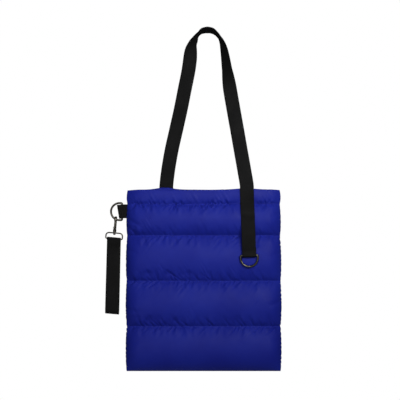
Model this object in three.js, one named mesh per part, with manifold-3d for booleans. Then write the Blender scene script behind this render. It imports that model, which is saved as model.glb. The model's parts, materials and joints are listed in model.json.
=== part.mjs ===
// Quilted puffer shopper bag on one shoulder strap, with a tail ring and a clip-on wristlet, hanging.
// Millimetres, +Z up, the viewer in front at -Y. The origin is where the strap's top bend hangs.
import * as THREE from 'three';
import { mergeVertices } from 'three/addons/utils/BufferGeometryUtils.js';
import Module from 'manifold-3d';

const wasm = await Module();
wasm.setup();

// Bag sizes
const bagWidth = 337;
const bagHeight = 391;
const bagOffset = -8;
const topTaper = 0.985;
const hemDepth = 30;
const tubeCount = 4;
const tubePuff = 17;
const firstPuff = 0.82;
const puffSkew = 1.12;
const puffRound = 0.62;
const flatBelow = 0.55;
const hemPuff = 3;
const innerPuff = 5;
const quiltedWall = 3;
const mouthGap = 24;
const seamGap = 0.3;
const seamWall = 1.5;
const sideRound = 28;
const sideBulge = 2.4;
const hemRound = 1.2;
const gatherPitch = 27;
const gatherDepth = 1.7;
const gatherReach = 13;

// Webbing and how the strap hangs
const webbingWidth = 30;
const webbingThickness = 1.8;
const clearance = 0.3;
const strapDrop = 344.7;
const strapSpread = 173.9;
const foldMeet = 7.5;
const acrossBand = [-0.5, -0.25, 0, 0.25, 0.5];
const tailLength = 144.5;
const tailFoldBack = 18.6;
const ringLies = 1.52;
const tailLean = 1.9;
const backTailLength = 27;

// D-rings
const ringWire = 4.4;
const ringSlack = 2.5;
const ringLeg = 5.5;
const ringCorner = 2.6;

// Side tab
const tabDrop = 46;
const tabLength = 9;
const ringSag = 0.7;

// Wristlet: snap hook, gate, swivel eye and wrist loop
const hookAngle = 27.2;
const hookLean = 5;
const hookBar = 3.2;
const hookWidth = 5.6;
const hookThroat = 10;
const gateLength = 13.5;
const gateBar = 2.8;
const baseDiameter = 7.4;
const baseHeight = 6.5;
const pinDiameter = 3;
const pinPlay = 0.25;
const knobDiameter = 5.6;
const knobHeight = 2.4;
const eyeWire = 2.9;
const eyeSlack = 2.8;
const eyeHeight = 15.8;
const eyeBossDiameter = 7.6;
const wristLength = 162;
const wristOpening = 18;
const wristBand = 13;
const wristLean = 1.4;

// Worked out from the sizes above
const tubePitch = bagHeight / tubeCount;
const topEdge = -strapDrop;
const webbingPly = webbingThickness + clearance;
const foldRadius = ringWire / 2 + clearance + webbingThickness / 2;
const ringInner = webbingWidth + ringSlack;
const ringArc = (ringInner + ringWire) / 2;
const eyeInner = webbingWidth + eyeSlack;
const roundSides = 16;

// Quilting seams, as shares of the bag's height below its top edge, and how far each channel puffs out
const channels = [
  { from: 0, to: hemDepth / bagHeight, puff: hemPuff },
  { from: hemDepth / bagHeight, to: 1 / tubeCount, puff: tubePuff * firstPuff },
  { from: 1 / tubeCount, to: 2 / tubeCount, puff: tubePuff },
  { from: 2 / tubeCount, to: 3 / tubeCount, puff: tubePuff },
  { from: 3 / tubeCount, to: 1, puff: tubePuff },
];

// Where the straps pull an edge up: at and reach are shares of half the bag's width, rise of the hem's depth
const frontLifts = [
  { at: 0.54, reach: 0.17, rise: 0.09 },
  { at: 0.95, reach: 0.12, rise: 0.03 },
  { at: -0.15, reach: 0.3, rise: -0.04 },
];
const backLifts = [
  { at: -0.5, reach: 0.14, rise: 0.15 },
  { at: 0.3, reach: 0.3, rise: -0.03 },
];

// Larger dents: at and reach are shares of half the width, down and tall of one channel's pitch from the top
// edge, deep of the channels' puff
const frontDents = [
  { at: -0.72, reach: 0.09, down: 1.83, tall: 0.1, deep: 0.3 },
  { at: -0.46, reach: 0.1, down: 1.85, tall: 0.11, deep: 0.34 },
  { at: -0.2, reach: 0.09, down: 1.84, tall: 0.1, deep: 0.3 },
  { at: 0.04, reach: 0.08, down: 1.86, tall: 0.09, deep: 0.26 },
  { at: -0.66, reach: 0.1, down: 2.84, tall: 0.1, deep: 0.32 },
  { at: -0.36, reach: 0.1, down: 2.86, tall: 0.09, deep: 0.28 },
  { at: 0.36, reach: 0.09, down: 2.87, tall: 0.09, deep: 0.26 },
  { at: 0.7, reach: 0.1, down: 1.2, tall: 0.08, deep: 0.2 },
];
const backDents = [
  { at: -0.5, reach: 0.1, down: 1.84, tall: 0.1, deep: 0.3 },
  { at: 0.1, reach: 0.1, down: 1.85, tall: 0.1, deep: 0.28 },
  { at: 0.55, reach: 0.1, down: 2.85, tall: 0.1, deep: 0.3 },
  { at: -0.2, reach: 0.09, down: 2.86, tall: 0.09, deep: 0.28 },
];

// Creases that run in from the side seams: side -1 is left, down is a share of one channel's pitch, slope is
// the drop along the crease, long a share of half the width, wide and deep shares of the channels' puff
const sideCreases = [
  { side: -1, down: 0.42, slope: -0.35, long: 0.2, wide: 0.3, deep: 0.2 },
  { side: -1, down: 0.62, slope: 0.55, long: 0.26, wide: 0.32, deep: 0.26 },
  { side: -1, down: 0.78, slope: 0.9, long: 0.2, wide: 0.3, deep: 0.2 },
  { side: -1, down: 1.32, slope: 0.25, long: 0.16, wide: 0.3, deep: 0.16 },
  { side: -1, down: 2.62, slope: 0.2, long: 0.2, wide: 0.3, deep: 0.18 },
  { side: -1, down: 3.4, slope: -0.2, long: 0.18, wide: 0.32, deep: 0.16 },
  { side: 1, down: 0.5, slope: 0.3, long: 0.15, wide: 0.3, deep: 0.18 },
  { side: 1, down: 1.4, slope: 0.15, long: 0.14, wide: 0.3, deep: 0.16 },
  { side: 1, down: 2.45, slope: 0.3, long: 0.2, wide: 0.3, deep: 0.2 },
  { side: 1, down: 3.3, slope: 0.2, long: 0.14, wide: 0.3, deep: 0.14 },
];

// The strap from the front hem up the right limb, over the top bend and down the left limb: x is a share of
// the limbs' spread at the bag, z of the drop to the bag, turn how far the band's face is turned edge-on
const strapRoute = [
  { x: 0.488, z: -0.975, turn: 0 },
  { x: 0.456, z: -0.875, turn: 0 },
  { x: 0.412, z: -0.749, turn: 0 },
  { x: 0.369, z: -0.624, turn: 0 },
  { x: 0.325, z: -0.499, turn: 0 },
  { x: 0.282, z: -0.373, turn: 7 },
  { x: 0.245, z: -0.248, turn: 44 },
  { x: 0.2075, z: -0.123, turn: 60 },
  { x: 0.18, z: -0.073, turn: 72 },
  { x: 0.152, z: -0.045, turn: 80 },
  { x: 0.1117, z: -0.02, turn: 78 },
  { x: 0.0646, z: -0.003, turn: 71 },
  { x: 0, z: 0.0026, turn: 68 },
  { x: -0.0596, z: -0.003, turn: 71 },
  { x: -0.103, z: -0.019, turn: 80 },
  { x: -0.134, z: -0.036, turn: 76 },
  { x: -0.159, z: -0.06, turn: 63 },
  { x: -0.184, z: -0.085, turn: 53 },
  { x: -0.2025, z: -0.123, turn: 30 },
  { x: -0.216, z: -0.185, turn: 4 },
  { x: -0.2335, z: -0.248, turn: 0 },
  { x: -0.283, z: -0.373, turn: 0 },
  { x: -0.333, z: -0.499, turn: 0 },
  { x: -0.389, z: -0.624, turn: 0 },
  { x: -0.4446, z: -0.749, turn: 0 },
  { x: -0.488, z: -0.875, turn: 0 },
  { x: -0.511, z: -0.975, turn: 0 },
];

const radians = THREE.MathUtils.degToRad;
const { clamp, lerp } = THREE.MathUtils;
const bump = (distance, reach) => Math.exp(-((distance / reach) ** 2));

// A closed body from rings of points that all hold the same number, joined ring to ring
function loftRings(rings, closed = false) {
  const count = rings[0].length;
  const positions = rings.flat().flatMap((p) => [p.x, p.y, p.z]);
  const index = [];
  const last = closed ? rings.length : rings.length - 1;
  for (let r = 0; r < last; r += 1) {
    const here = r * count;
    const next = ((r + 1) % rings.length) * count;
    for (let i = 0; i < count; i += 1) {
      const j = (i + 1) % count;
      index.push(here + i, here + j, next + j, here + i, next + j, next + i);
    }
  }
  return { positions, index, count, rings: rings.length };
}

// Closes the two ends of a loft with flat fans worked out in the plane that flatten names
function capEnds(body, rings, flatten) {
  const top = rings.length - 1;
  for (const [ring, flip] of [[0, false], [top, true]]) {
    const outline = rings[ring].map(flatten);
    const base = ring * body.count;
    const clockwise = THREE.ShapeUtils.isClockWise(outline);
    for (const [a, b, c] of THREE.ShapeUtils.triangulateShape(outline, [])) {
      const corners = clockwise !== flip ? [a, b, c] : [a, c, b];
      body.index.push(...corners.map((k) => base + k));
    }
  }
  return body;
}

function geometryOf(body) {
  const geometry = new THREE.BufferGeometry();
  geometry.setAttribute('position', new THREE.Float32BufferAttribute(body.positions, 3));
  geometry.setIndex(body.index);
  return facingOut(geometry);
}

// Turns every face round when the body has come out inside out
function facingOut(geometry) {
  const position = geometry.getAttribute('position');
  const index = geometry.getIndex().array;
  const [a, b, c] = [new THREE.Vector3(), new THREE.Vector3(), new THREE.Vector3()];
  let volume = 0;
  for (let i = 0; i < index.length; i += 3) {
    a.fromBufferAttribute(position, index[i]);
    b.fromBufferAttribute(position, index[i + 1]);
    c.fromBufferAttribute(position, index[i + 2]);
    volume += a.dot(b.cross(c));
  }
  if (volume < 0) {
    for (let i = 0; i < index.length; i += 3) [index[i], index[i + 2]] = [index[i + 2], index[i]];
  }
  geometry.computeVertexNormals();
  return geometry;
}

// A flat band of webbing through stations that each hold a middle point and the direction across the band
function webbing(stations, closed = false) {
  const count = stations.length;
  const rings = stations.map((station, i) => {
    const before = stations[closed ? (i + count - 1) % count : Math.max(i - 1, 0)].middle;
    const after = stations[closed ? (i + 1) % count : Math.min(i + 1, count - 1)].middle;
    const along = after.clone().sub(before).normalize();
    const across = station.across.clone().addScaledVector(along, -station.across.dot(along)).normalize();
    const through = along.clone().cross(across);
    const corner = (u, v) => station.middle.clone()
      .addScaledVector(across, (u * webbingWidth) / 2)
      .addScaledVector(through, (v * webbingThickness) / 2);
    return [corner(-1, -1), corner(1, -1), corner(1, 1), corner(-1, 1)];
  });
  const body = loftRings(rings, closed);
  if (!closed) {
    const end = (count - 1) * 4;
    body.index.push(0, 2, 1, 0, 3, 2, end, end + 1, end + 2, end, end + 2, end + 3);
  }
  return geometryOf(body);
}

// A round or oval bar bent along a flat path. Each point may hold its own scale of the section, for a
// rounded end; level is the direction at right angles to the path's plane, which deep is measured along
function bentBar(path, level, { deep, thick = deep, sides = 8, closed = false }) {
  const count = path.length;
  const rings = path.map((point, i) => {
    const before = path[closed ? (i + count - 1) % count : Math.max(i - 1, 0)];
    const after = path[closed ? (i + 1) % count : Math.min(i + 1, count - 1)];
    const inward = after.clone().sub(before).normalize().cross(level);
    const scale = point.scale ?? 1;
    return Array.from({ length: sides }, (_, k) => {
      const angle = (2 * Math.PI * (k + 0.5)) / sides;
      return point.clone()
        .addScaledVector(inward, (Math.cos(angle) * thick * scale) / 2)
        .addScaledVector(level, (Math.sin(angle) * deep * scale) / 2);
    });
  });
  const body = loftRings(rings, closed);
  if (!closed) {
    const end = (count - 1) * sides;
    for (let k = 1; k < sides - 1; k += 1) body.index.push(0, k + 1, k, end, end + k, end + k + 1);
  }
  return geometryOf(body);
}

// Points on an arc in the XZ plane, angles in degrees from +X towards +Z
function arcPoints(centreX, centreZ, radius, from, to, steps) {
  return Array.from({ length: steps + 1 }, (_, i) => {
    const angle = radians(lerp(from, to, i / steps));
    return new THREE.Vector3(centreX + radius * Math.cos(angle), 0, centreZ + radius * Math.sin(angle));
  });
}

// Merges a body's doubled points, which normals and UVs would keep apart
function merged(geometry) {
  const bare = geometry.clone();
  for (const name of ['normal', 'uv']) bare.deleteAttribute(name);
  return mergeVertices(bare, 1e-4);
}

// Joins or cuts closed bodies
function solidOf(geometry) {
  const whole = merged(geometry);
  return new wasm.Manifold(new wasm.Mesh({
    numProp: 3,
    vertProperties: new Float32Array(whole.getAttribute('position').array),
    triVerts: new Uint32Array(whole.getIndex().array),
  }));
}
function geometryFrom(solid) {
  const mesh = solid.getMesh();
  const geometry = new THREE.BufferGeometry();
  geometry.setAttribute('position', new THREE.BufferAttribute(mesh.vertProperties, 3));
  geometry.setIndex(new THREE.BufferAttribute(mesh.triVerts, 1));
  geometry.computeVertexNormals();
  return geometry;
}

// The bag's quilted panels
// How far a channel puffs out at a share of the bag's height, 0 on its seams and 1 at its fullest
function channelAt(share) {
  const channel = channels.find((c) => share <= c.to) ?? channels.at(-1);
  const t = clamp((share - channel.from) / (channel.to - channel.from), 0, 1);
  return { channel, fullness: Math.sin(Math.PI * t ** puffSkew) ** puffRound };
}
function halfWidth(down) {
  const share = down / bagHeight;
  const taper = lerp(topTaper, 1, clamp(share * 2, 0, 1));
  return (bagWidth / 2 - sideBulge) * taper + sideBulge * channelAt(share).fullness;
}
// How far the panel stands off the bag's middle plane, before its padding
function bellyAt(x, down) {
  const across = clamp(Math.abs(x) / halfWidth(down), 0, 1);
  const low = clamp((down / bagHeight - flatBelow) / (1 - flatBelow), 0, 1);
  return (mouthGap / 2) * (1 - across ** 4) ** 0.6 * Math.sqrt(1 - low ** 3);
}
function gathersAt(x, down) {
  let depth = 0;
  for (const [i, channel] of channels.entries()) {
    const seam = channel.to * bagHeight;
    const off = Math.abs(down - seam);
    if (i === channels.length - 1) continue;
    const wave = Math.cos((2 * Math.PI * x) / gatherPitch + i * 2.1 + (down > seam ? 1.3 : 0));
    depth += gatherDepth * wave * (off / gatherReach) * bump(off, gatherReach) * 2.3;
  }
  return depth;
}
function dentsAt(x, down, dents) {
  const half = bagWidth / 2;
  let depth = 0;
  for (const dent of dents) {
    const beside = bump(x - dent.at * half, dent.reach * half);
    depth += dent.deep * tubePuff * beside * bump(down - dent.down * tubePitch, dent.tall * tubePitch);
  }
  for (const crease of sideCreases) {
    const inward = halfWidth(down) - crease.side * x;
    const line = crease.down * tubePitch + crease.slope * inward;
    const fade = clamp(1 - inward / (crease.long * half), 0, 1);
    depth += crease.deep * tubePuff * fade * bump(down - line, crease.wide * tubePuff);
  }
  return depth;
}
// Distance of the panel's outer face from the bag's middle plane
function outerFace(panel, x, down) {
  const inward = clamp((halfWidth(down) - Math.abs(x)) / sideRound, 0, 1);
  const rounding = Math.sqrt(1 - (1 - inward) ** 2);
  const { channel, fullness } = channelAt(down / bagHeight);
  const relief = (gathersAt(x, down) + dentsAt(x, down, panel.dents)) * fullness ** 0.5;
  const puff = Math.max(channel.puff * fullness - relief * (channel.puff / tubePuff), 0);
  const low = clamp(1 - (bagHeight - down) / sideRound, 0, 1);
  const stand = (bellyAt(x, down) + quiltedWall - seamWall) * Math.sqrt(1 - low ** 2) + puff;
  return seamGap / 2 + seamWall + stand * rounding;
}
// Distance of the panel's inner face from the middle plane; it meets the other panel at the seams
function innerFace(x, down) {
  const { fullness } = channelAt(down / bagHeight);
  const belly = bellyAt(x, down);
  const padding = innerPuff * fullness * (belly / (mouthGap / 2));
  return seamGap / 2 + Math.max(belly - padding, 0);
}
function liftAt(panel, x, down) {
  const half = bagWidth / 2;
  const rise = panel.lifts.reduce((sum, l) => sum + l.rise * hemDepth * bump(x - l.at * half, l.reach * half), 0);
  return rise * clamp(1 - down / tubePitch, 0, 1) ** 1.5;
}

const downRows = [];
for (const [i, channel] of channels.entries()) {
  const shares = i === 0 ? [0, 0.06, 0.3, 0.6, 0.85] : [0, 0.06, 0.16, 0.32, 0.52, 0.72, 0.86, 0.95];
  for (const share of shares) downRows.push(lerp(channel.from, channel.to, share) * bagHeight);
}
downRows.push(bagHeight);

const edgeColumns = [0, 0.04, 0.13, 0.28, 0.5, 0.75];
const middleColumns = 32;
const innerColumns = 10;

function quiltedPanel(panel) {
  const rings = downRows.map((down, row) => {
    const half = halfWidth(down);
    const edges = edgeColumns.map((share) => half - share * sideRound);
    const inset = half - sideRound;
    const middle = Array.from({ length: middleColumns + 1 }, (_, i) => lerp(inset, -inset, i / middleColumns));
    const outerX = [...edges, ...middle, ...edges.map((x) => -x).reverse()];
    const innerX = Array.from({ length: innerColumns + 1 }, (_, i) => lerp(-half, half, i / innerColumns));
    const soften = row === 0 ? hemRound : 0;
    const point = (x, off, drop) => new THREE.Vector3(
      x + bagOffset, panel.facing * off, topEdge - down + liftAt(panel, x, down) - drop,
    );
    return [
      ...outerX.map((x) => point(x, outerFace(panel, x, down) - soften, 0)),
      ...innerX.map((x) => point(x, innerFace(x, down), 0)),
    ];
  });
  return geometryOf(capEnds(loftRings(rings), rings, (p) => new THREE.Vector2(p.x, p.y)));
}

const frontPanel = { facing: -1, lifts: frontLifts, dents: frontDents };
const backPanel = { facing: 1, lifts: backLifts, dents: backDents };

// Where a band lying on a panel has its middle: clear of the panel across the band's whole width
function restOn(panel, worldX, down) {
  const x = worldX - bagOffset;
  const span = acrossBand.map((u) => outerFace(panel, x + u * webbingWidth, Math.max(down, 0)));
  return panel.facing * (Math.max(...span) + clearance + webbingThickness / 2);
}

// Webbing folded round a bar: points from the ply on the near side, round the bar and back, each with its
// distance along the band from the bar's middle and its distance off the fold's middle plane
function foldRound(barDiameter, meet = foldMeet, steps = 10) {
  const radius = barDiameter / 2 + clearance + webbingThickness / 2;
  const halfPly = webbingPly / 2;
  const start = Math.atan2(halfPly, meet) + Math.acos(radius / Math.hypot(meet, halfPly));
  const round = Array.from({ length: steps + 1 }, (_, i) => {
    const angle = lerp(start, 2 * Math.PI - start, i / steps);
    return { along: radius * Math.cos(angle), off: radius * Math.sin(angle) };
  });
  return [{ along: meet, off: halfPly }, ...round, { along: meet, off: -halfPly }];
}

// The shoulder strap
const tailX = (down) => strapRoute[0].x * strapSpread + Math.tan(radians(tailLean)) * down;
const tailRingDown = tailLength - foldRadius - webbingThickness / 2;
const hangPlane = -(outerFace(frontPanel, tailX(tailLength) - bagOffset, tubePitch * ringLies)
  + clearance + foldRadius + webbingThickness / 2);

function strapStations() {
  const across = new THREE.Vector3(Math.cos(radians(tailLean)), 0, Math.sin(radians(tailLean)));
  const tail = (down, y) => ({ middle: new THREE.Vector3(tailX(down), y, topEdge - down), across });
  const halfPly = webbingPly / 2;
  const stations = [];
  const foldStart = tailLength - tailFoldBack;
  stations.push(tail(foldStart, hangPlane + halfPly));
  for (const { along, off } of foldRound(ringWire)) stations.push(tail(tailRingDown - along, hangPlane + off));
  const atHem = restOn(frontPanel, tailX(hemDepth / 2), hemDepth / 2);
  const overTube = restOn(frontPanel, tailX(tubePitch * 0.62), tubePitch * 0.62);
  const drape = [
    { down: foldStart - tailFoldBack * 0.6, y: hangPlane - halfPly },
    { down: tubePitch * 0.92, y: lerp(overTube, hangPlane, 0.55) },
    { down: tubePitch * 0.66, y: overTube },
    { down: tubePitch * 0.5, y: overTube },
    { down: hemDepth * 1.25, y: lerp(atHem, overTube, 0.5) },
    { down: hemDepth * 0.9, y: atHem },
    { down: hemDepth * 0.45, y: atHem },
    { down: 0, y: atHem },
  ];
  for (const { down, y } of drape) stations.push(tail(down, y));

  const backHem = restOn(backPanel, strapRoute.at(-1).x * strapSpread, hemDepth / 2);
  const route = strapRoute.map((row) => {
    const share = clamp(-row.z / Math.abs(strapRoute[0].z), 0, 1);
    const near = row.x > 0 ? atHem : backHem;
    return {
      middle: new THREE.Vector3(row.x * strapSpread, near * share, row.z * strapDrop),
      turn: radians(row.turn),
    };
  });
  const first = stations.at(-1).middle;
  const last = route.at(-1).middle;
  const curve = new THREE.CatmullRomCurve3([first, ...route.map((r) => r.middle)], false, 'centripetal');
  const turns = [0, ...route.map((r) => r.turn)];
  const stepsEach = 2;
  const spans = turns.length - 1;
  for (let i = 1; i <= spans * stepsEach; i += 1) {
    const t = i / (spans * stepsEach);
    const row = Math.min(Math.floor(t * spans), spans - 1);
    const turn = lerp(turns[row], turns[row + 1], t * spans - row);
    const along = curve.getTangent(t);
    const outward = new THREE.Vector3(along.z, 0, -along.x).normalize();
    stations.push({
      middle: curve.getPoint(t),
      across: outward.multiplyScalar(Math.cos(turn)).add(new THREE.Vector3(0, -Math.sin(turn), 0)),
    });
  }
  for (const down of [hemDepth * 0.1, hemDepth * 0.5, backTailLength]) {
    stations.push({
      middle: new THREE.Vector3(last.x, backHem, topEdge - down),
      across: new THREE.Vector3(-1, 0, 0),
    });
  }
  return stations;
}

// D-rings, drawn with the straight bar along X at the origin and the arc below
function dRing() {
  const reach = ringArc;
  const corner = ringCorner;
  const path = [
    ...arcPoints(-reach + corner, -corner, corner, 180, 90, 3),
    ...arcPoints(reach - corner, -corner, corner, 90, 0, 3),
    ...arcPoints(0, -ringLeg, reach, 0, -180, 14),
  ];
  return bentBar(path, new THREE.Vector3(0, 1, 0), { deep: ringWire, closed: true });
}

// The side tab and its ring
const tabTop = topEdge - tabDrop;
const tabSeam = bagOffset - Math.max(...acrossBand.map((u) => halfWidth(tabDrop + u * webbingWidth)));
const sideBarX = tabSeam - clearance - tabLength;

function sideTab() {
  const across = new THREE.Vector3(0, 0, 1);
  const at = (x, y) => ({ middle: new THREE.Vector3(x, y, tabTop), across });
  const end = tabSeam - clearance;
  const stations = [at(end, webbingPly / 2)];
  for (const { along, off } of foldRound(ringWire)) stations.push(at(sideBarX + along, off));
  stations.push(at(end, -webbingPly / 2));
  return webbing(stations);
}

// The wristlet, drawn in the hook's own frame: the ring's wire passes its origin, Z up the shank
const archInner = hookThroat / 2;
const wireTilt = radians(hookAngle - hookLean);
const archFlat = hookWidth * 0.19;
const archCentre = ringWire / 2 / Math.cos(wireTilt) + clearance + archFlat * Math.tan(wireTilt) - archInner;
const noseTip = archCentre - archInner * 0.5;
const gateTop = noseTip - clearance;
const gatePivot = gateTop - gateLength;
const hookHeel = gatePivot - gateBar / 2 - clearance - hookBar / 2;
const heelRadius = hookBar * 1.3;
const hookFoot = hookHeel - baseHeight;
const eyeBarTop = hookFoot - clearance;
const eyeBarMiddle = eyeBarTop - eyeWire / 2;

// A point of the hook's own plane, which stands in Y and Z
function inHook(y, z, scale = 1) {
  return Object.assign(new THREE.Vector3(0, y, z), { scale });
}

function turned(profile, sides = roundSides) {
  const lathe = new THREE.LatheGeometry(profile.map(([r, z]) => new THREE.Vector2(r, z)), sides);
  lathe.rotateX(Math.PI / 2);
  return facingOut(merged(lathe));
}

function snapHook() {
  const bend = archInner + hookBar / 2;
  const path = [inHook(-bend, noseTip, 0.55), inHook(-bend, noseTip + hookBar * 0.2)];
  const steps = 10;
  for (let i = 0; i <= steps; i += 1) {
    const angle = Math.PI * (1 - i / steps);
    path.push(inHook(bend * Math.cos(angle), archCentre + bend * Math.sin(angle)));
  }
  path.push(inHook(bend, hookHeel + heelRadius));
  for (let i = 1; i <= 5; i += 1) {
    const angle = (Math.PI / 2) * (i / 5);
    path.push(inHook(bend - heelRadius * (1 - Math.cos(angle)), hookHeel + heelRadius * (1 - Math.sin(angle))));
  }
  path.push(inHook(-bend, hookHeel), inHook(-bend - hookBar * 0.4, hookHeel, 0.6));
  const frame = solidOf(bentBar(path, new THREE.Vector3(1, 0, 0), { deep: hookWidth, thick: hookBar }));
  const knobTop = eyeBarTop - eyeWire - clearance;
  const shank = solidOf(turned([
    [0, hookHeel],
    [baseDiameter * 0.36, hookHeel],
    [baseDiameter / 2, hookHeel - hookBar * 0.6],
    [baseDiameter / 2, hookFoot + hookBar * 0.3],
    [baseDiameter * 0.4, hookFoot],
    [pinDiameter / 2, hookFoot],
    [pinDiameter / 2, knobTop],
    [knobDiameter / 2, knobTop],
    [knobDiameter / 2, knobTop - knobHeight * 0.5],
    [knobDiameter * 0.3, knobTop - knobHeight],
    [0, knobTop - knobHeight],
  ]));
  return geometryFrom(frame.add(shank));
}

function hookGate() {
  const middle = -archInner - hookBar / 2;
  const tip = gateBar * 0.25;
  const bottom = gatePivot - gateBar / 2;
  const path = [
    inHook(middle, bottom, 0.5), inHook(middle, bottom + tip, 0.9), inHook(middle, gatePivot),
    inHook(middle, gateTop - tip), inHook(middle, gateTop, 0.7),
  ];
  return bentBar(path, new THREE.Vector3(1, 0, 0), { deep: hookWidth * 0.8, thick: gateBar });
}

function swivelEye() {
  const reach = (eyeInner + eyeWire) / 2;
  const rise = eyeHeight - eyeWire;
  const shoulder = rise * 0.5;
  const corner = eyeWire * 0.85;
  const path = [
    ...arcPoints(-reach + shoulder, -shoulder, shoulder, 180, 90, 4),
    ...arcPoints(reach - shoulder, -shoulder, shoulder, 90, 0, 4),
    ...arcPoints(reach - corner, corner - rise, corner, 0, -90, 3),
    ...arcPoints(corner - reach, corner - rise, corner, -90, -180, 3),
  ];
  const loop = bentBar(path, new THREE.Vector3(0, 1, 0), { deep: eyeWire, closed: true });
  loop.translate(0, 0, eyeBarMiddle);
  const bossBelow = eyeBarMiddle - eyeWire / 2;
  const boss = turned([
    [0, bossBelow], [eyeBossDiameter / 2, bossBelow], [eyeBossDiameter / 2, eyeBarTop], [0, eyeBarTop],
  ]);
  const bore = (pinDiameter / 2 + pinPlay) / Math.cos(Math.PI / roundSides);
  const hole = turned([
    [0, bossBelow - 1], [bore, bossBelow - 1], [bore, eyeBarTop + 1], [0, eyeBarTop + 1],
  ]);
  return geometryFrom(solidOf(loop).add(solidOf(boss)).subtract(solidOf(hole)));
}

function wristLoop() {
  const barZ = eyeBarMiddle - (eyeHeight - eyeWire);
  const halfPly = webbingPly / 2;
  const open = (wristOpening - webbingThickness) / 2;
  const low = barZ - wristLength + open + webbingThickness / 2;
  const across = new THREE.Vector3(1, 0, 0);
  const leanAt = (z) => Math.tan(radians(hookLean - wristLean)) * (barZ - z);
  const at = (y, z) => ({ middle: new THREE.Vector3(leanAt(z), y, z), across });
  const fold = foldRound(eyeWire).map(({ along, off }) => [off, barZ - along]);
  const bandTop = barZ - foldMeet;
  const half = [[halfPly, bandTop - wristBand]];
  const swell = [0.1, 0.25, 0.45, 0.7, 1];
  for (const share of swell) {
    const z = lerp(bandTop - wristBand, low, share);
    half.push([lerp(halfPly, open, Math.sin((Math.PI / 2) * share) ** 1.3), z]);
  }
  const bend = 5;
  for (let i = 1; i < bend; i += 1) {
    const angle = (Math.PI / 2) * (i / bend);
    half.push([open * Math.cos(angle), low - open * Math.sin(angle)]);
  }
  const front = half.map(([y, z]) => [-y, z]);
  const outline = [...fold, ...front, [0, low - open], ...half.reverse()];
  return webbing(outline.map(([y, z]) => at(y, z)), true);
}

// Materials
function finish(color, roughness, metalness) {
  return new THREE.MeshStandardMaterial({ color, roughness, metalness });
}
const nylon = () => finish(0x1f2a8c, 0.42, 0);
const strapCloth = () => finish(0x171717, 0.85, 0);
const gunmetal = () => finish(0x35332f, 0.35, 1);

function piece(name, geometry, material) {
  const mesh = new THREE.Mesh(geometry, material);
  mesh.name = name;
  return mesh;
}

// The assembly
const shopper = new THREE.Group();
shopper.add(
  piece('front_panel', quiltedPanel(frontPanel), nylon()),
  piece('back_panel', quiltedPanel(backPanel), nylon()),
  piece('shoulder_strap', webbing(strapStations()), strapCloth()),
  piece('side_tab', sideTab(), strapCloth()),
);

const tailRing = piece('tail_d_ring', dRing(), gunmetal());
tailRing.position.set(tailX(tailRingDown), hangPlane, topEdge - tailRingDown);
tailRing.rotation.y = -radians(tailLean);
shopper.add(tailRing);

const sideRing = piece('side_d_ring', dRing(), gunmetal());
sideRing.position.set(sideBarX, 0, tabTop - ringSag);
sideRing.rotation.y = Math.PI / 2;
shopper.add(sideRing);

const wristlet = new THREE.Group();
wristlet.position.set(
  sideBarX - ringLeg - ringArc * Math.sin(radians(hookAngle)),
  0,
  tabTop - ringSag - ringArc * Math.cos(radians(hookAngle)),
);
wristlet.rotation.y = radians(hookLean);
wristlet.add(
  piece('snap_hook', snapHook(), gunmetal()),
  piece('hook_gate', hookGate(), gunmetal()),
  piece('swivel_eye', swivelEye(), gunmetal()),
  piece('wrist_loop', wristLoop(), strapCloth()),
);
shopper.add(wristlet);

export default shopper;
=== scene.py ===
"""Quilted puffer shopper bag: its panels, webbing, metal fittings and studio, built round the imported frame.

Everything is in metres, +Z up, with the viewer in front at -Y and the strap's top bend hanging at the origin.
"""
import json
import math

import bmesh
import bpy
import numpy as np
from bpy.props import FloatProperty, FloatVectorProperty, IntProperty, PointerProperty
from mathutils import Matrix, Vector


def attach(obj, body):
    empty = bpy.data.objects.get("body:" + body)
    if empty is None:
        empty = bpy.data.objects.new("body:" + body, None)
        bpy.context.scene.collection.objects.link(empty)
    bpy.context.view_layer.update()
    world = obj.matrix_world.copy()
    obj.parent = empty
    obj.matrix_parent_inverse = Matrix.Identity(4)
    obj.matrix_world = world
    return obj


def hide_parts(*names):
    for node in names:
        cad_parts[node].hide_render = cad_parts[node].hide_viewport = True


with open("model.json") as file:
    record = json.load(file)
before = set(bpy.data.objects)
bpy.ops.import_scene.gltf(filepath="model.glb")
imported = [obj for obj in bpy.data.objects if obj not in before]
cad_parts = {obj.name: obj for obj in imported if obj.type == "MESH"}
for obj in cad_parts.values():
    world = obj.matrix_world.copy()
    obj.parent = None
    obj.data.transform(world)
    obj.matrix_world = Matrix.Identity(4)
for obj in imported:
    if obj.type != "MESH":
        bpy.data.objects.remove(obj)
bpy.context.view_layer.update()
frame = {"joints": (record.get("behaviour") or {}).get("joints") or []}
joints = {joint["name"]: joint for joint in frame["joints"]}

bl_info = {
    "name": "Quilted shopper bag",
    "version": (1, 0, 0),
    "blender": (4, 5, 0),
    "location": "View3D > Sidebar > Shopper bag",
    "description": "Builds the bag's quilted panels, webbing, metal fittings and studio",
    "category": "Object",
}


# Sizes and colours

def length(name, default, description):
    """A size in metres"""
    return FloatProperty(name=name, description=description, default=default, unit="LENGTH", precision=5)


def factor(name, default, description):
    """A share of something else"""
    return FloatProperty(name=name, description=description, default=default, subtype="FACTOR")


def colour(name, default, description):
    """A linear colour"""
    return FloatVectorProperty(name=name, description=description, default=default, subtype="COLOR", size=3)


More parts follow.
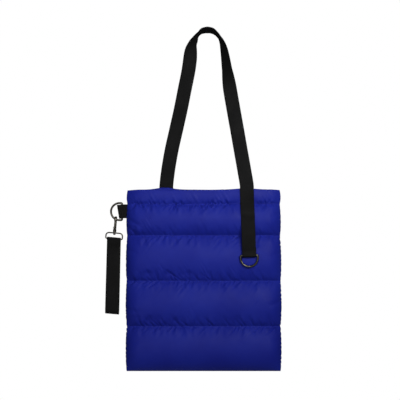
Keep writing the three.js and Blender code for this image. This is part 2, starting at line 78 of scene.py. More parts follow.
class QuiltSizes(bpy.types.PropertyGroup):
    """Sizes of the two quilted panels"""
    width: length("Width", 0.337, "Width of the bag at its widest")
    height: length("Height", 0.391, "From the top edge to the bottom seam")
    offset: length("Offset", -0.008, "How far right of the strap's top bend the bag's middle hangs")
    channels: IntProperty(name="Channels", description="Quilted channels from top to bottom", default=4)
    top_taper: factor("Top taper", 0.985, "Width of the top edge as a share of the full width")
    hem: length("Hem", 0.030, "Depth of the hem band at the top edge")
    puff: length("Puff", 0.017, "How far a channel stands out from its seams")
    hem_puff: length("Hem puff", 0.003, "How far the hem band stands out")
    inner_puff: length("Inner puff", 0.005, "How far the padding stands into the bag")
    wall: length("Quilted wall", 0.003, "Thickness of the quilted wall at its seams")
    mouth: length("Mouth", 0.024, "How far the panels stand apart at the middle of the mouth")
    seam_gap: length("Seam gap", 0.0003, "Gap that the solids leave between the panels at the side seams")
    seam_lap: length("Seam lap", 0.0002, "How far the sewn panels press into each other at their seams")
    seam_wall: length("Seam wall", 0.0015, "Thickness of each panel at the side seams")
    side_round: length("Side round", 0.028, "Distance over which the padding rounds off at the sides")
    side_bulge: length("Side bulge", 0.0024, "How far a full channel pushes the side seam out")
    grid: length("Grid", 0.003, "Spacing of the cloth's points")
    ease: factor("Ease", 0.06, "Spare fabric that is gathered into the seams")
    slack: factor("Slack", 0.95, "How full the channels are before the padding presses them out")
    pressure: FloatProperty(name="Pressure", description="How hard the padding presses outwards", default=60.0)
    frames: IntProperty(name="Frames", description="Frames that the cloth settles for", default=20)
    swell: length("Swell", 0.003, "How far the fabric may stand proud of the padded form")
    side_gather: length("Side gather", 0.0017, "Depth of the small gathers along the side seams")
    gather_pitch: length("Gather pitch", 0.0105, "Spacing of the small gathers along the side seams")


class WebbingSizes(bpy.types.PropertyGroup):
    """Sizes of the strap, the side tab and the wrist loop"""
    width: length("Width", 0.030, "Width of all the webbing")
    thickness: length("Thickness", 0.0018, "Thickness of all the webbing")
    clearance: length("Clearance", 0.0003, "Gap between plies, and round the bars that the webbing folds over")
    drop: length("Drop", 0.3447, "From the strap's top bend down to the bag's top edge")
    spread: length("Spread", 0.1739, "Distance between the strap's limbs at the bag")
    tail: length("Tail", 0.1445, "Length of the tail on the front panel")
    tail_fold: length("Tail fold", 0.0186, "Length that is folded back behind the tail's ring")
    back_tail: length("Back tail", 0.027, "Length of the strap's end on the back hem")
    fold_meet: length("Fold meet", 0.0075, "From a bar to where the plies round it come together")
    tab_drop: length("Tab drop", 0.046, "From the top edge to the middle of the side tab")
    tab_length: length("Tab length", 0.009, "From the side seam to the side ring's bar")
    tab_slack: length("Tab slack", 0.0046, "How far the tab's fold stands off the side ring's bar")
    tab_slant: factor("Tab slant", 0.17, "Slope of the tab's fold, whose top reaches further out")
    tab_tuck: length("Tab tuck", 0.0025, "How far the tab's ends go into the side seam")
    wrist: length("Wrist loop", 0.162, "Length of the wrist loop below its eye")
    wrist_opening: length("Wrist opening", 0.018, "Width of the wrist loop's lower bend")
    wrist_band: length("Wrist band", 0.013, "Length of the sewn band at the top of the wrist loop")
    step: length("Step", 0.0018, "Spacing of the rings of points along the webbing")


class MetalSizes(bpy.types.PropertyGroup):
    """Sizes of the rings, the hook and the swivel eye"""
    ring_wire: length("Ring wire", 0.0044, "Diameter of the D-rings' wire")
    ring_slack: length("Ring slack", 0.0025, "Room beside the webbing inside a D-ring")
    ring_leg: length("Ring leg", 0.0055, "Straight part between a D-ring's bar and its arc")
    ring_corner: length("Ring corner", 0.0026, "Bend between a D-ring's bar and its legs")
    hook_bar: length("Hook bar", 0.0032, "Thickness of the hook's bar")
    hook_width: length("Hook width", 0.0056, "Width of the hook's bar, seen from the front")
    throat: length("Throat", 0.010, "Opening inside the hook's arch")
    gate_length: length("Gate length", 0.0135, "From the gate's pivot to its tip")
    gate_bar: length("Gate bar", 0.0028, "Thickness of the gate")
    base: length("Base", 0.0074, "Diameter of the hook's base")
    base_height: length("Base height", 0.0065, "Height of the hook's base")
    pin: length("Pin", 0.003, "Diameter of the swivel pin")
    pin_play: length("Pin play", 0.00025, "Gap round the swivel pin")
    knob: length("Knob", 0.0056, "Diameter of the riveted head on the swivel pin")
    knob_height: length("Knob height", 0.0024, "Height of the riveted head")
    eye_wire: length("Eye wire", 0.0029, "Diameter of the swivel eye's wire")
    eye_slack: length("Eye slack", 0.0028, "Room beside the webbing inside the eye")
    eye_height: length("Eye height", 0.0158, "Height of the swivel eye")
    eye_boss: length("Eye boss", 0.0076, "Diameter of the boss that the pin turns in")


class ThreadSizes(bpy.types.PropertyGroup):
    """Sizes of the stitches"""
    quilt_pitch: length("Quilting pitch", 0.0032, "Distance from stitch to stitch in the quilting seams")
    hem_pitch: length("Hem pitch", 0.0042, "Distance from stitch to stitch in the hem seam")
    strap_pitch: length("Strap pitch", 0.0032, "Distance from stitch to stitch in the webbing")
    band_pitch: length("Band pitch", 0.00135, "Distance from row to row in the wrist loop's sewn band")
    fine: length("Fine thread", 0.0005, "Thickness of the thread in the quilting seams")
    strong: length("Strong thread", 0.0008, "Thickness of the thread in the hem and the webbing")
    box_inset: length("Box inset", 0.0042, "From the webbing's edge to the box of stitches")


class Finishes(bpy.types.PropertyGroup):
    """Colours of the bag"""
    nylon: colour("Nylon", (0.0090, 0.0170, 0.2400), "Royal blue satin nylon")
    nylon_shade: colour("Nylon shade", (0.0070, 0.0125, 0.2050), "Nylon where it is creased and rubbed dull")
    # The blue thread is darker than the nylon partly as painted shade: besides its own dark blue, its colour stands
    # in for the shadow line along the quilting seams
    thread: colour("Blue thread", (0.0030, 0.0050, 0.0900), "Dark blue thread of the quilting seams")
    webbing: colour("Webbing", (0.0062, 0.0062, 0.0063), "Black polyester webbing")
    # Painted shade between the webbing's ribs, where the ribs shade each other; the same colour also darkens the
    # selvedge and is the black thread's darker twist
    webbing_dark_and_rib_shade: colour("Webbing shade", (0.0020, 0.0020, 0.0020), "Between the webbing's ribs")
    metal: colour("Metal", (0.040, 0.037, 0.031), "Gunmetal plating")
    metal_worn: colour("Worn metal", (0.095, 0.087, 0.070), "Plating that is rubbed thin")
    floor: colour("Floor", (0.86, 0.86, 0.86), "Plain pale floor")


class StageSettings(bpy.types.PropertyGroup):
    """Camera, lights and floor"""
    view_middle: FloatVectorProperty(name="View middle", description="Middle of the picture, on the bag's plane",
                                     default=(-0.0158, 0.0, -0.3663), subtype="XYZ", unit="LENGTH")
    view_width: length("View width", 0.864, "Width of the picture at the bag's plane")
    distance: length("Camera distance", 4.0, "From the camera to the bag's plane")
    floor_drop: length("Floor drop", -1.50, "Height of the floor below the strap's top bend")
    floor_radius: length("Floor radius", 1.30, "Radius of the round floor")
    key_power: FloatProperty(name="Key light", description="Power of the soft light above right", default=3.5)
    fill_power: FloatProperty(name="Fill light", description="Power of the broad light in front", default=2.4)
    back_power: FloatProperty(name="Back light", description="Power of the soft light behind", default=14.0)
    ambient: FloatProperty(name="Ambient", description="Strength of the light from all round", default=0.15)


PROPERTY_GROUPS = {
    "shopper_quilt": QuiltSizes,
    "shopper_webbing": WebbingSizes,
    "shopper_metal": MetalSizes,
    "shopper_thread": ThreadSizes,
    "shopper_finish": Finishes,
    "shopper_stage": StageSettings,
}


# The padded form of the panels

# Where the straps pull a top edge up: at and reach are shares of half the bag's width, rise of the hem's depth
FRONT_LIFTS = ((0.54, 0.17, 0.09), (0.95, 0.12, 0.03), (-0.15, 0.3, -0.04))
BACK_LIFTS = ((-0.5, 0.14, 0.15), (0.3, 0.3, -0.03))

# Larger dents: at and reach are shares of half the width, down and tall of one channel's pitch from the top
# edge, deep of the channels' puff
FRONT_DENTS = (
    (-0.72, 0.09, 1.83, 0.1, 0.3), (-0.46, 0.1, 1.85, 0.11, 0.34), (-0.2, 0.09, 1.84, 0.1, 0.3),
    (0.04, 0.08, 1.86, 0.09, 0.26), (-0.66, 0.1, 2.84, 0.1, 0.32), (-0.36, 0.1, 2.86, 0.09, 0.28),
    (0.36, 0.09, 2.87, 0.09, 0.26), (0.7, 0.1, 1.2, 0.08, 0.2),
)
BACK_DENTS = (
    (-0.5, 0.1, 1.84, 0.1, 0.3), (0.1, 0.1, 1.85, 0.1, 0.28), (0.55, 0.1, 2.85, 0.1, 0.3),
    (-0.2, 0.09, 2.86, 0.09, 0.28),
)

# Creases that run in from the side seams: side -1 is left, down is a share of one channel's pitch, slope is
# the drop along the crease, long a share of half the width, wide and deep shares of the channels' puff
SIDE_CREASES = (
    (-1, 0.42, -0.35, 0.2, 0.3, 0.2), (-1, 0.62, 0.55, 0.26, 0.32, 0.26), (-1, 0.78, 0.9, 0.2, 0.3, 0.2),
    (-1, 1.32, 0.25, 0.16, 0.3, 0.16), (-1, 2.62, 0.2, 0.2, 0.3, 0.18), (-1, 3.4, -0.2, 0.18, 0.32, 0.16),
    (1, 0.5, 0.3, 0.15, 0.3, 0.18), (1, 1.4, 0.15, 0.14, 0.3, 0.16), (1, 2.45, 0.3, 0.2, 0.3, 0.2),
    (1, 3.3, 0.2, 0.14, 0.3, 0.14),
)
GATHER_PITCH, GATHER_DEPTH, GATHER_REACH = 0.027, 0.0017, 0.013

# Narrow puckers above and below each seam, from the hem seam down: how many, how far they run, how deep they
# are and how far they lean
PUCKERS = (
    ((60, 0.005, 0.0033, 0.2), (56, 0.008, 0.0040, 0.4)),
    ((34, 0.013, 0.0012, 0.55), (36, 0.010, 0.0025, 0.8)),
    ((34, 0.013, 0.0022, 0.55), (36, 0.010, 0.0045, 0.8)),
    ((34, 0.013, 0.0033, 0.55), (36, 0.010, 0.0043, 0.8)),
)
# The hem seam's tiny gathers: their pitch, their depth and how far they reach to either side
HEM_TUCKS = (0.0048, 0.0019, 0.0034)


def bump(distance, reach):
    """A round hump that is 1 in its middle"""
    return np.exp(-((distance / reach) ** 2))


def eased(value, low, high):
    """0 below low, 1 above high and smooth between them"""
    t = np.clip((value - low) / (high - low), 0, 1)
    return t * t * (3 - 2 * t)


class Quilt:
    """The padded form of the bag; x is the distance right of its middle line and down that below its top edge"""

    def __init__(self, sizes, top):
        self.s = sizes
        self.top = top
        self.half = sizes.width / 2
        self.pitch = sizes.height / sizes.channels
        first = sizes.hem / sizes.height
        self.starts = np.array([0, first] + [i / sizes.channels for i in range(1, sizes.channels)])
        self.ends = np.array([first] + [(i + 1) / sizes.channels for i in range(sizes.channels)])
        self.puffs = np.array([sizes.hem_puff, 0.82 * sizes.puff] + [sizes.puff] * (sizes.channels - 1))

    def channel_at(self, down):
        """How far the channel puffs out, and how full it is there, 0 on its seams"""
        share = down / self.s.height
        index = np.clip(np.searchsorted(self.ends, share - 1e-7), 0, len(self.ends) - 1)
        t = np.clip((share - self.starts[index]) / (self.ends[index] - self.starts[index]), 0, 1)
        return self.puffs[index], np.clip(np.sin(np.pi * t ** 1.12), 0, 1) ** 0.62

    def half_width(self, down):
        taper = self.s.top_taper + (1 - self.s.top_taper) * np.clip(2 * down / self.s.height, 0, 1)
        return (self.half - self.s.side_bulge) * taper + self.s.side_bulge * self.channel_at(down)[1]

    def belly(self, x, down):
        """How far the panel stands off the bag's middle plane, before its padding"""
        across = np.clip(np.abs(x) / self.half_width(down), 0, 1)
        low = np.clip((down / self.s.height - 0.55) / 0.45, 0, 1)
        return self.s.mouth / 2 * (1 - across ** 4) ** 0.6 * np.sqrt(1 - low ** 3)

    def relief(self, x, down, dents):
        """How deep the gathers, dents and creases go"""
        depth = np.zeros_like(x)
        for i, end in enumerate(self.ends[:-1] * self.s.height):
            off = np.abs(down - end)
            wave = np.where(down > end, wavy(x, 0.8 * GATHER_PITCH, 3 * i), wavy(x, GATHER_PITCH, 3 * i + 1))
            depth += GATHER_DEPTH * wave * (off / GATHER_REACH) * bump(off, GATHER_REACH) * 2.3
        for at, reach, level, tall, deep in dents:
            beside = bump(x - at * self.half, reach * self.half)
            depth += deep * self.s.puff * beside * bump(down - level * self.pitch, tall * self.pitch)
        for side, level, slope, long, wide, deep in SIDE_CREASES:
            inward = self.half_width(down) - side * x
            line = level * self.pitch + slope * inward
            fade = np.clip(1 - inward / (long * self.half), 0, 1)
            depth += deep * self.s.puff * fade * bump(down - line, wide * self.s.puff)
        return depth

    def outer(self, x, down, dents=FRONT_DENTS, fill=1.0):
        """Distance of a panel's outer face from the bag's middle plane, with its padding as full as fill"""
        inward = np.clip((self.half_width(down) - np.abs(x)) / self.s.side_round, 0, 1)
        rounding = np.sqrt(1 - (1 - inward) ** 2)
        puff, fullness = self.channel_at(down)
        relief = self.relief(x, down, dents) * fullness ** 0.5
        pad = np.maximum(puff * fullness - relief * (puff / self.s.puff), 0)
        low = np.clip(1 - (self.s.height - down) / self.s.side_round, 0, 1)
        stand = (self.belly(x, down) + self.s.wall - self.s.seam_wall) * np.sqrt(1 - low ** 2) + pad * fill
        return self.s.seam_gap / 2 + self.s.seam_wall + stand * rounding

    def inner(self, x, down):
        """Distance of a panel's inner face from the middle plane; the panels meet at the seams"""
        belly = self.belly(x, down)
        padding = self.s.inner_puff * self.channel_at(down)[1] * (belly / (self.s.mouth / 2))
        return np.maximum(belly - padding, 0) - self.s.seam_lap / 2

    def height_at(self, x, down, lifts):
        """Height of a point on a panel whose top edge the straps pull up"""
        rise = sum(r * self.s.hem * bump(x - at * self.half, reach * self.half) for at, reach, r in lifts)
        return self.top - down + rise * np.clip(1 - down / self.pitch, 0, 1) ** 1.5

    def rows(self):
        """Distances down with a row on every seam, and which rows the seams are"""
        rows, seams = [0.0], []
        for start, end in zip(self.starts, self.ends):
            count = round((end - start) * self.s.height / self.s.grid)
            rows += [(start + (end - start) * (i + 1) / count) * self.s.height for i in range(count)]
            seams.append(len(rows) - 1)
        return np.array(rows), seams[:-1]

    def columns(self, down):
        """For each row, the distances across of its points, closer together where the sides round off"""
        half = self.half_width(down)[:, None]
        turn = np.linspace(0, np.pi / 2, 15)[None, :]
        inward = self.s.side_round * (1 - np.cos(turn))
        count = round(2 * (self.half - self.s.side_round) / self.s.grid)
        middle = np.linspace(-1, 1, count + 1)[None, 1:-1]
        return np.concatenate([inward - half, (half - self.s.side_round) * middle, (half - inward)[:, ::-1]], 1)


def wavy(values, pitch, seed):
    """An uneven wave of about the given pitch, the same for the same seed"""
    random = np.random.RandomState(seed)
    total = np.zeros_like(values)
    for share in (0.62, 0.81, 1.0, 1.37, 1.9):
        total += np.cos(2 * np.pi * (values / (pitch * share) + random.rand())) * random.uniform(0.5, 1)
    return total / 2.2


# Meshes

def mesh_of(name, points, faces, corner_uv=None):
    """A smooth mesh from points, faces of three or four corners, and a UV for each corner"""
    mesh = bpy.data.meshes.new(name)
    mesh.from_pydata(np.asarray(points, float).tolist(), [], faces)
    if corner_uv is not None:
        layer = mesh.uv_layers.new(name="UVMap")
        layer.data.foreach_set("uv", np.asarray(corner_uv, np.float32).ravel())
    mesh.shade_smooth()
    return mesh


def scene_object(name, data):
    """An object in the scene at the origin"""
    obj = bpy.data.objects.new(name, data)
    bpy.context.scene.collection.objects.link(obj)
    return obj


def drop(obj):
    """Removes a helper object and its mesh"""
    mesh = obj.data
    bpy.data.objects.remove(obj)
    if mesh and mesh.users == 0:
        bpy.data.meshes.remove(mesh)


def outward(mesh):
    """Turns every face round when a closed mesh has come out inside out"""
    bm = bmesh.new()
    bm.from_mesh(mesh)
    if bm.calc_volume(signed=True) < 0:
        bmesh.ops.reverse_faces(bm, faces=bm.faces)
        bm.to_mesh(mesh)
    bm.free()
    return mesh


def plain_mesh(obj):
    """The mesh that an object's modifiers make; the object is then removed"""
    depsgraph = bpy.context.evaluated_depsgraph_get()
    depsgraph.update()
    mesh = bpy.data.meshes.new_from_object(
        obj.evaluated_get(depsgraph), preserve_all_data_layers=True, depsgraph=depsgraph)
    obj.modifiers.clear()
    drop(obj)
    return mesh


def grown(obj, tree, **values):
    """The plain mesh that a geometry nodes tree makes of an object; the object is then removed"""
    modifier = obj.modifiers.new(tree.name, "NODES")
    modifier.node_group = tree
    sockets = {item.name: item.identifier for item in tree.interface.items_tree
               if item.item_type == "SOCKET" and item.in_out == "INPUT"}
    for key, value in values.items():
        modifier[sockets[key]] = value
    obj.update_tag()
    return plain_mesh(obj)


def polylines(name, rows, closed=False, **attributes):
    """An object of rows of joined points; each attribute holds a list of values for each row"""
    points = np.concatenate(rows)
    edges, start = [], 0
    for row in rows:
        count = len(row)
        edges += [(start + i, start + i + 1) for i in range(count - 1)]
        if closed:
            edges.append((start + count - 1, start))
        start += count
    mesh = bpy.data.meshes.new(name)
    mesh.from_pydata(points.tolist(), edges, [])
    for key, values in attributes.items():
        values = np.concatenate([np.asarray(v, float) for v in values])
        vector = values.ndim == 2
        layer = mesh.attributes.new(key, "FLOAT_VECTOR" if vector else "FLOAT", "POINT")
        layer.data.foreach_set("vector" if vector else "value", values.ravel())
    return scene_object(name, mesh)


def united(name, meshes, cut=()):
    """One closed mesh of meshes that overlap, less the meshes to cut away"""
    main = scene_object(name, meshes[0])
    helpers = []
    for operation, group in (("UNION", meshes[1:]), ("DIFFERENCE", cut)):
        for mesh in group:
            helper = scene_object(f"{name}_{len(helpers)}", mesh)
            helpers.append(helper)
            modifier = main.modifiers.new(helper.name, "BOOLEAN")
            modifier.operation = operation
            modifier.solver = "EXACT"
            modifier.object = helper
    result = plain_mesh(main)
    for helper in helpers:
        drop(helper)
    return result


def finished(name, mesh, body, slot, material, *nodes):
    """A finished piece that rides on a body and stands for CAD nodes"""
    mesh.name = name
    mesh.materials.clear()
    mesh.materials.append(material)
    obj = scene_object(name, mesh)
    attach(obj, body)
    if nodes:
        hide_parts(*nodes)
    return obj


# Geometry nodes: a band or wire swept along a path, and a row of stitches

class Wiring:
    """Adds nodes to a tree and joins them up"""

    def __init__(self, tree):
        self.tree = tree

    def add(self, kind, inputs=(), **settings):
        """A node with the given settings; an input is a value or another node's output"""
        node = self.tree.nodes.new(kind)
        for key, value in settings.items():
            setattr(node, key, value)
        for key, value in dict(inputs).items():
            if isinstance(value, bpy.types.NodeSocket):
                self.tree.links.new(value, node.inputs[key])
            else:
                node.inputs[key].default_value = value
        return node

    def math(self, operation, first, second=0.5, third=0.5):
        values = {0: first, 1: second, 2: third}
        if operation in {"SINE", "ABSOLUTE", "SQRT", "FRACT"}:
            values = {0: first}
        return self.add("ShaderNodeMath", values, operation=operation).outputs[0]


def tree_with(name, kind, inputs, outputs):
    """A node tree with named inputs, each with its socket type and default, and named outputs"""
    tree = bpy.data.node_groups.new(name, kind)
    for label, socket_type, default in inputs:
        socket = tree.interface.new_socket(name=label, in_out="INPUT", socket_type=socket_type)
        if default is not None:
            socket.default_value = default
    for label, socket_type in outputs:
        tree.interface.new_socket(name=label, in_out="OUTPUT", socket_type=socket_type)
    wiring = Wiring(tree)
    start = wiring.add("NodeGroupInput")
    return tree, wiring, start.outputs


def close_tree(wiring, **results):
    """Joins each result to the tree's output of that name"""
    end = wiring.add("NodeGroupOutput")
    for key, value in results.items():
        wiring.tree.links.new(value, end.inputs[key])


def named(wiring, name, kind="FLOAT"):
    """A field that reads an attribute by its name"""
    node = wiring.add("GeometryNodeInputNamedAttribute", {"Name": name}, data_type=kind)
    return node.outputs["Attribute"]


def sweep_tree():
    """A closed band or wire that carries a profile along a path, with its UV in metres"""
    tree, wiring, given = tree_with(
        "swept_band", "GeometryNodeTree",
        [("Path", "NodeSocketGeometry", None), ("Profile", "NodeSocketObject", None),
         ("Finish", "NodeSocketMaterial", None)],
        [("Band", "NodeSocketGeometry")])
    path = wiring.add("GeometryNodeMeshToCurve", {"Mesh": given["Path"]}).outputs[0]
    across = named(wiring, "across", "FLOAT_VECTOR")
    path = wiring.add("GeometryNodeSetCurveNormal", {"Curve": path, "Normal": across}, mode="FREE").outputs[0]
    shape = wiring.add("GeometryNodeObjectInfo", {"Object": given["Profile"]}).outputs["Geometry"]
    shape = wiring.add("GeometryNodeMeshToCurve", {"Mesh": shape}).outputs[0]
    band = wiring.add("GeometryNodeCurveToMesh", {"Curve": path, "Profile Curve": shape,
                                                  "Scale": named(wiring, "swell"), "Fill Caps": True})
    uv = wiring.add("ShaderNodeCombineXYZ", {"X": named(wiring, "side"), "Y": named(wiring, "along")})
    stored = wiring.add("GeometryNodeStoreNamedAttribute",
                        {"Geometry": band.outputs[0], "Name": "UVMap", "Value": uv.outputs[0]},
                        data_type="FLOAT2", domain="CORNER")
    smooth = wiring.add("GeometryNodeSetShadeSmooth", {"Geometry": stored.outputs[0]}).outputs[0]
    solid = wiring.add("GeometryNodeRealizeInstances", {"Geometry": smooth}).outputs[0]
    finish = wiring.add("GeometryNodeSetMaterial", {"Geometry": solid, "Material": given["Finish"]})
    close_tree(wiring, Band=finish.outputs[0])
    return tree


def stitch_tree():
    """A row of stitches along a seam, each lying flat on the fabric"""
    tree, wiring, given = tree_with(
        "stitch_row", "GeometryNodeTree",
        [("Seam", "NodeSocketGeometry", None), ("Pitch", "NodeSocketFloat", 0.003),
         ("Length", "NodeSocketFloat", 0.002), ("Thickness", "NodeSocketFloat", 0.0005),
         ("Thread", "NodeSocketMaterial", None)],
        [("Stitches", "NodeSocketGeometry")])
    seam = wiring.add("GeometryNodeMeshToCurve", {"Mesh": given["Seam"]}).outputs[0]
    seam = wiring.add("GeometryNodeResampleCurve", {"Curve": seam, "Length": given["Pitch"]},
                      mode="LENGTH").outputs[0]
    tangent = wiring.add("GeometryNodeInputTangent").outputs[0]
    turn = wiring.add("FunctionNodeAlignRotationToVector", {"Vector": tangent}, axis="X").outputs[0]
    turn = wiring.add("FunctionNodeAlignRotationToVector",
                      {"Rotation": turn, "Vector": named(wiring, "outward", "FLOAT_VECTOR")},
                      axis="Z", pivot_axis="X").outputs[0]
    stitch = wiring.add("GeometryNodeMeshUVSphere", {"Segments": 6, "Rings": 4, "Radius": 0.5}).outputs[0]
    size = wiring.add("ShaderNodeCombineXYZ", {"X": given["Length"], "Y": given["Thickness"],
                                               "Z": given["Thickness"]}).outputs[0]
    rows = wiring.add("GeometryNodeInstanceOnPoints",
                      {"Points": seam, "Instance": stitch, "Rotation": turn, "Scale": size}).outputs[0]
    smooth = wiring.add("GeometryNodeSetShadeSmooth", {"Geometry": rows}).outputs[0]
    solid = wiring.add("GeometryNodeRealizeInstances", {"Geometry": smooth}).outputs[0]
    thread = wiring.add("GeometryNodeSetMaterial", {"Geometry": solid, "Material": given["Thread"]})
    close_tree(wiring, Stitches=thread.outputs[0])
    return tree


def shared(name, make):
    """A node tree or material that is made once and then used again"""
    for library in (bpy.data.node_groups, bpy.data.materials):
        if name in library:
            return library[name]
    return make()


def stitched(name, rows, outward_rows, pitch, thickness, material):
    """A mesh of stitches along rows of points that each know which way the fabric faces"""
    seam = polylines(name, rows, outward=outward_rows)
    return grown(seam, shared("stitch_row", stitch_tree), Pitch=pitch, Length=pitch * 0.7,
                 Thickness=thickness, Thread=material)


def band_profile(width, thickness):
    """Half a millimetre steps round a flat band with rounded edges, and how far across each point is"""
    radius = thickness / 2
    turn = np.linspace(-np.pi / 2, np.pi / 2, 7)
    edge = np.stack([width / 2 - radius + radius * np.cos(turn), radius * np.sin(turn)], 1)
    flat = np.linspace(1, -1, 9)[1:-1] * (width / 2 - radius * 1.8)
    top = np.stack([flat, np.full_like(flat, radius)], 1)
    half = np.concatenate([edge, top])
    points = np.concatenate([half, -half])
    return np.concatenate([points, np.zeros((len(points), 1))], 1)


def oval_profile(width, thickness, sides=20):
    """An oval, drawn anticlockwise"""
    turn = 2 * np.pi * (np.arange(sides) + 0.5) / sides
    return np.stack([np.cos(turn) * width / 2, np.sin(turn) * thickness / 2, np.zeros(sides)], 1)


def swept(name, profile, path, across, swell=None, closed=False):
    """The closed mesh of a profile carried along a path"""
    path, across = np.asarray(path, float), np.asarray(across, float)
    if across.ndim == 1:
        across = np.tile(across, (len(path), 1))
    along = np.gradient(path, axis=0) if not closed else np.roll(path, -1, 0) - np.roll(path, 1, 0)
    along /= np.linalg.norm(along, axis=1)[:, None]
    across = across - along * np.sum(across * along, 1)[:, None]
    across /= np.linalg.norm(across, axis=1)[:, None]
    run = np.concatenate([[0], np.cumsum(np.linalg.norm(np.diff(path, axis=0), axis=1))])
    swell = np.ones(len(path)) if swell is None else np.asarray(swell, float)
    outline = polylines(f"{name}_profile", [profile], closed=True, side=[profile[:, 0]])
    line = polylines(name, [path], closed=closed, across=[across], along=[run], swell=[swell])
    mesh = grown(line, shared("swept_band", sweep_tree), Profile=outline)
    drop(outline)
    for key in ("across", "along", "swell", "side"):
        if key in mesh.attributes:
            mesh.attributes.remove(mesh.attributes[key])
    return outward(mesh)


def smooth_path(points, values, step, closed=False):
    """Points about a step apart on a centripetal spline through points, and values carried along with them"""
    points, values = np.asarray(points, float), np.asarray(values, float)
    if closed:
        points = np.concatenate([points[-1:], points, points[:2]])
        values = np.concatenate([values, values[:1]])
    else:
        points = np.concatenate([2 * points[:1] - points[1:2], points, 2 * points[-1:] - points[-2:-1]])
    out_points, out_values = [], []
    for i in range(len(points) - 3):
        p0, p1, p2, p3 = points[i:i + 4]
        d0, d1, d2 = (max(np.linalg.norm(b - a), 1e-9) ** 0.5 for a, b in ((p0, p1), (p1, p2), (p2, p3)))
        t1 = ((p1 - p0) / d0 - (p2 - p0) / (d0 + d1) + (p2 - p1) / d1) * d1
        t2 = ((p2 - p1) / d1 - (p3 - p1) / (d1 + d2) + (p3 - p2) / d2) * d1
        count = max(math.ceil(np.linalg.norm(p2 - p1) / step), 1)
        for t in np.arange(count) / count:
            c2 = -3 * p1 + 3 * p2 - 2 * t1 - t2
            c3 = 2 * p1 - 2 * p2 + t1 + t2
            out_points.append(p1 + t1 * t + c2 * t * t + c3 * t ** 3)
            out_values.append(values[i] * (1 - t) + values[i + 1] * t)
    if not closed:
        out_points.append(points[-2])
        out_values.append(values[-1])
    return np.array(out_points), np.array(out_values)


# Quilted panels

def doubled(grid, stops, axis):
    """Twice as many rows or columns on smooth curves, with a crease kept at each stop"""
    grid = np.moveaxis(grid, axis, 0)
    pieces = []
    for first, last in zip([0, *stops], [*stops, len(grid) - 1]):
        part = grid[first:last + 1]
        padded = np.concatenate([2 * part[:1] - part[1:2], part, 2 * part[-1:] - part[-2:-1]])
        middle = (9 * (padded[1:-2] + padded[2:-1]) - padded[:-3] - padded[3:]) / 16
        piece = np.empty((2 * len(part) - 1, *part.shape[1:]))
        piece[0::2], piece[1::2] = part, middle
        pieces.append(piece if first == 0 else piece[1:])
    return np.moveaxis(np.concatenate(pieces), 0, axis)


def grid_faces(rows, columns):
    """Faces of a grid of points"""
    corner = (np.arange(rows - 1)[:, None] * columns + np.arange(columns - 1)[None, :]).ravel()
    return np.stack([corner, corner + 1, corner + columns + 1, corner + columns], 1)


def spare_fabric(quilt, side, x, down):
    """Share of the ease at each point: most of it beside the quilting seams, little inside a channel"""
    share = np.full_like(x, 0.1)
    for i, end in enumerate(quilt.ends[:-1] * quilt.s.height):
        off = down - end
        reach = np.where(off <= 0, 0.026, 0.015)
        strength = np.where(off <= 0, 0.25 if i == 0 else 1.0, 0.6)
        uneven = 0.62 + 0.38 * wavy(x, 0.09, side.seed + 20 + i)
        share = np.maximum(share, strength * uneven * bump(off, reach))
    share *= eased(quilt.half_width(down) - np.abs(x), -0.01, 0.03)
    return np.clip(share, 0, 1)


def settled_cloth(sewn, held, spare, sizes):
    """Where the fabric of both panels ends up when the padding presses it out between its held points"""
    rows, columns = sewn.shape[1:3]
    one = grid_faces(rows, columns)
    faces = np.concatenate([one[:, ::-1], one + rows * columns])
    mesh = bpy.data.meshes.new("panel_cloth")
    mesh.from_pydata(sewn.reshape(-1, 3).tolist(), [], faces.tolist())
    cloth = scene_object("panel_cloth", mesh)
    group = cloth.vertex_groups.new(name="held")
    group.add(np.flatnonzero(held.ravel()).tolist(), 1.0, "REPLACE")
    ease = cloth.vertex_groups.new(name="ease")
    levels = np.round(spare.ravel() * 25).astype(int)
    for level in np.unique(levels[levels > 0]):
        ease.add(np.flatnonzero(levels == level).tolist(), float(level) / 25, "REPLACE")
    modifier = cloth.modifiers.new("press_out", "CLOTH")
    settings = modifier.settings
    settings.quality = 5
    settings.mass = 0.05
    settings.air_damping = 2.0
    settings.tension_stiffness = settings.compression_stiffness = 40
    settings.shear_stiffness = 12
    settings.bending_stiffness = 0.5
    settings.vertex_group_mass = "held"
    settings.vertex_group_shrink = "ease"
    settings.shrink_min, settings.shrink_max = 0.0, -sizes.ease
    settings.use_pressure = True
    settings.uniform_pressure_force = sizes.pressure
    settings.effector_weights.gravity = 0
    modifier.collision_settings.use_collision = False
    modifier.point_cache.frame_start = 1
    modifier.point_cache.frame_end = sizes.frames
    scene = bpy.context.scene
    for number in range(1, sizes.frames + 1):
        scene.frame_set(number)
    settled = cloth.evaluated_get(bpy.context.evaluated_depsgraph_get()).data
    points = np.empty(len(settled.vertices) * 3, np.float32)
    settled.vertices.foreach_get("co", points)
    cloth.modifiers.clear()
    drop(cloth)
    scene.frame_set(1)
    return points.reshape(sewn.shape).astype(float)


def beside_strap(quilt, webbing, x, down):
    """1 where the tail and its ring lie on the front panel, 0 well away from them"""
    off = np.abs(x + quilt.s.offset - strap_x(webbing, down))
    return (1 - eased(off, webbing.width * 0.55, webbing.width * 0.85)) * (
        1 - eased(down, webbing.tail + 0.022, webbing.tail + 0.034))


def strap_x(webbing, down):
    """World x of the tail's middle line; the tail leans as it hangs"""
    return STRAP_ROUTE[0][0] * webbing.spread + math.tan(TAIL_LEAN) * down


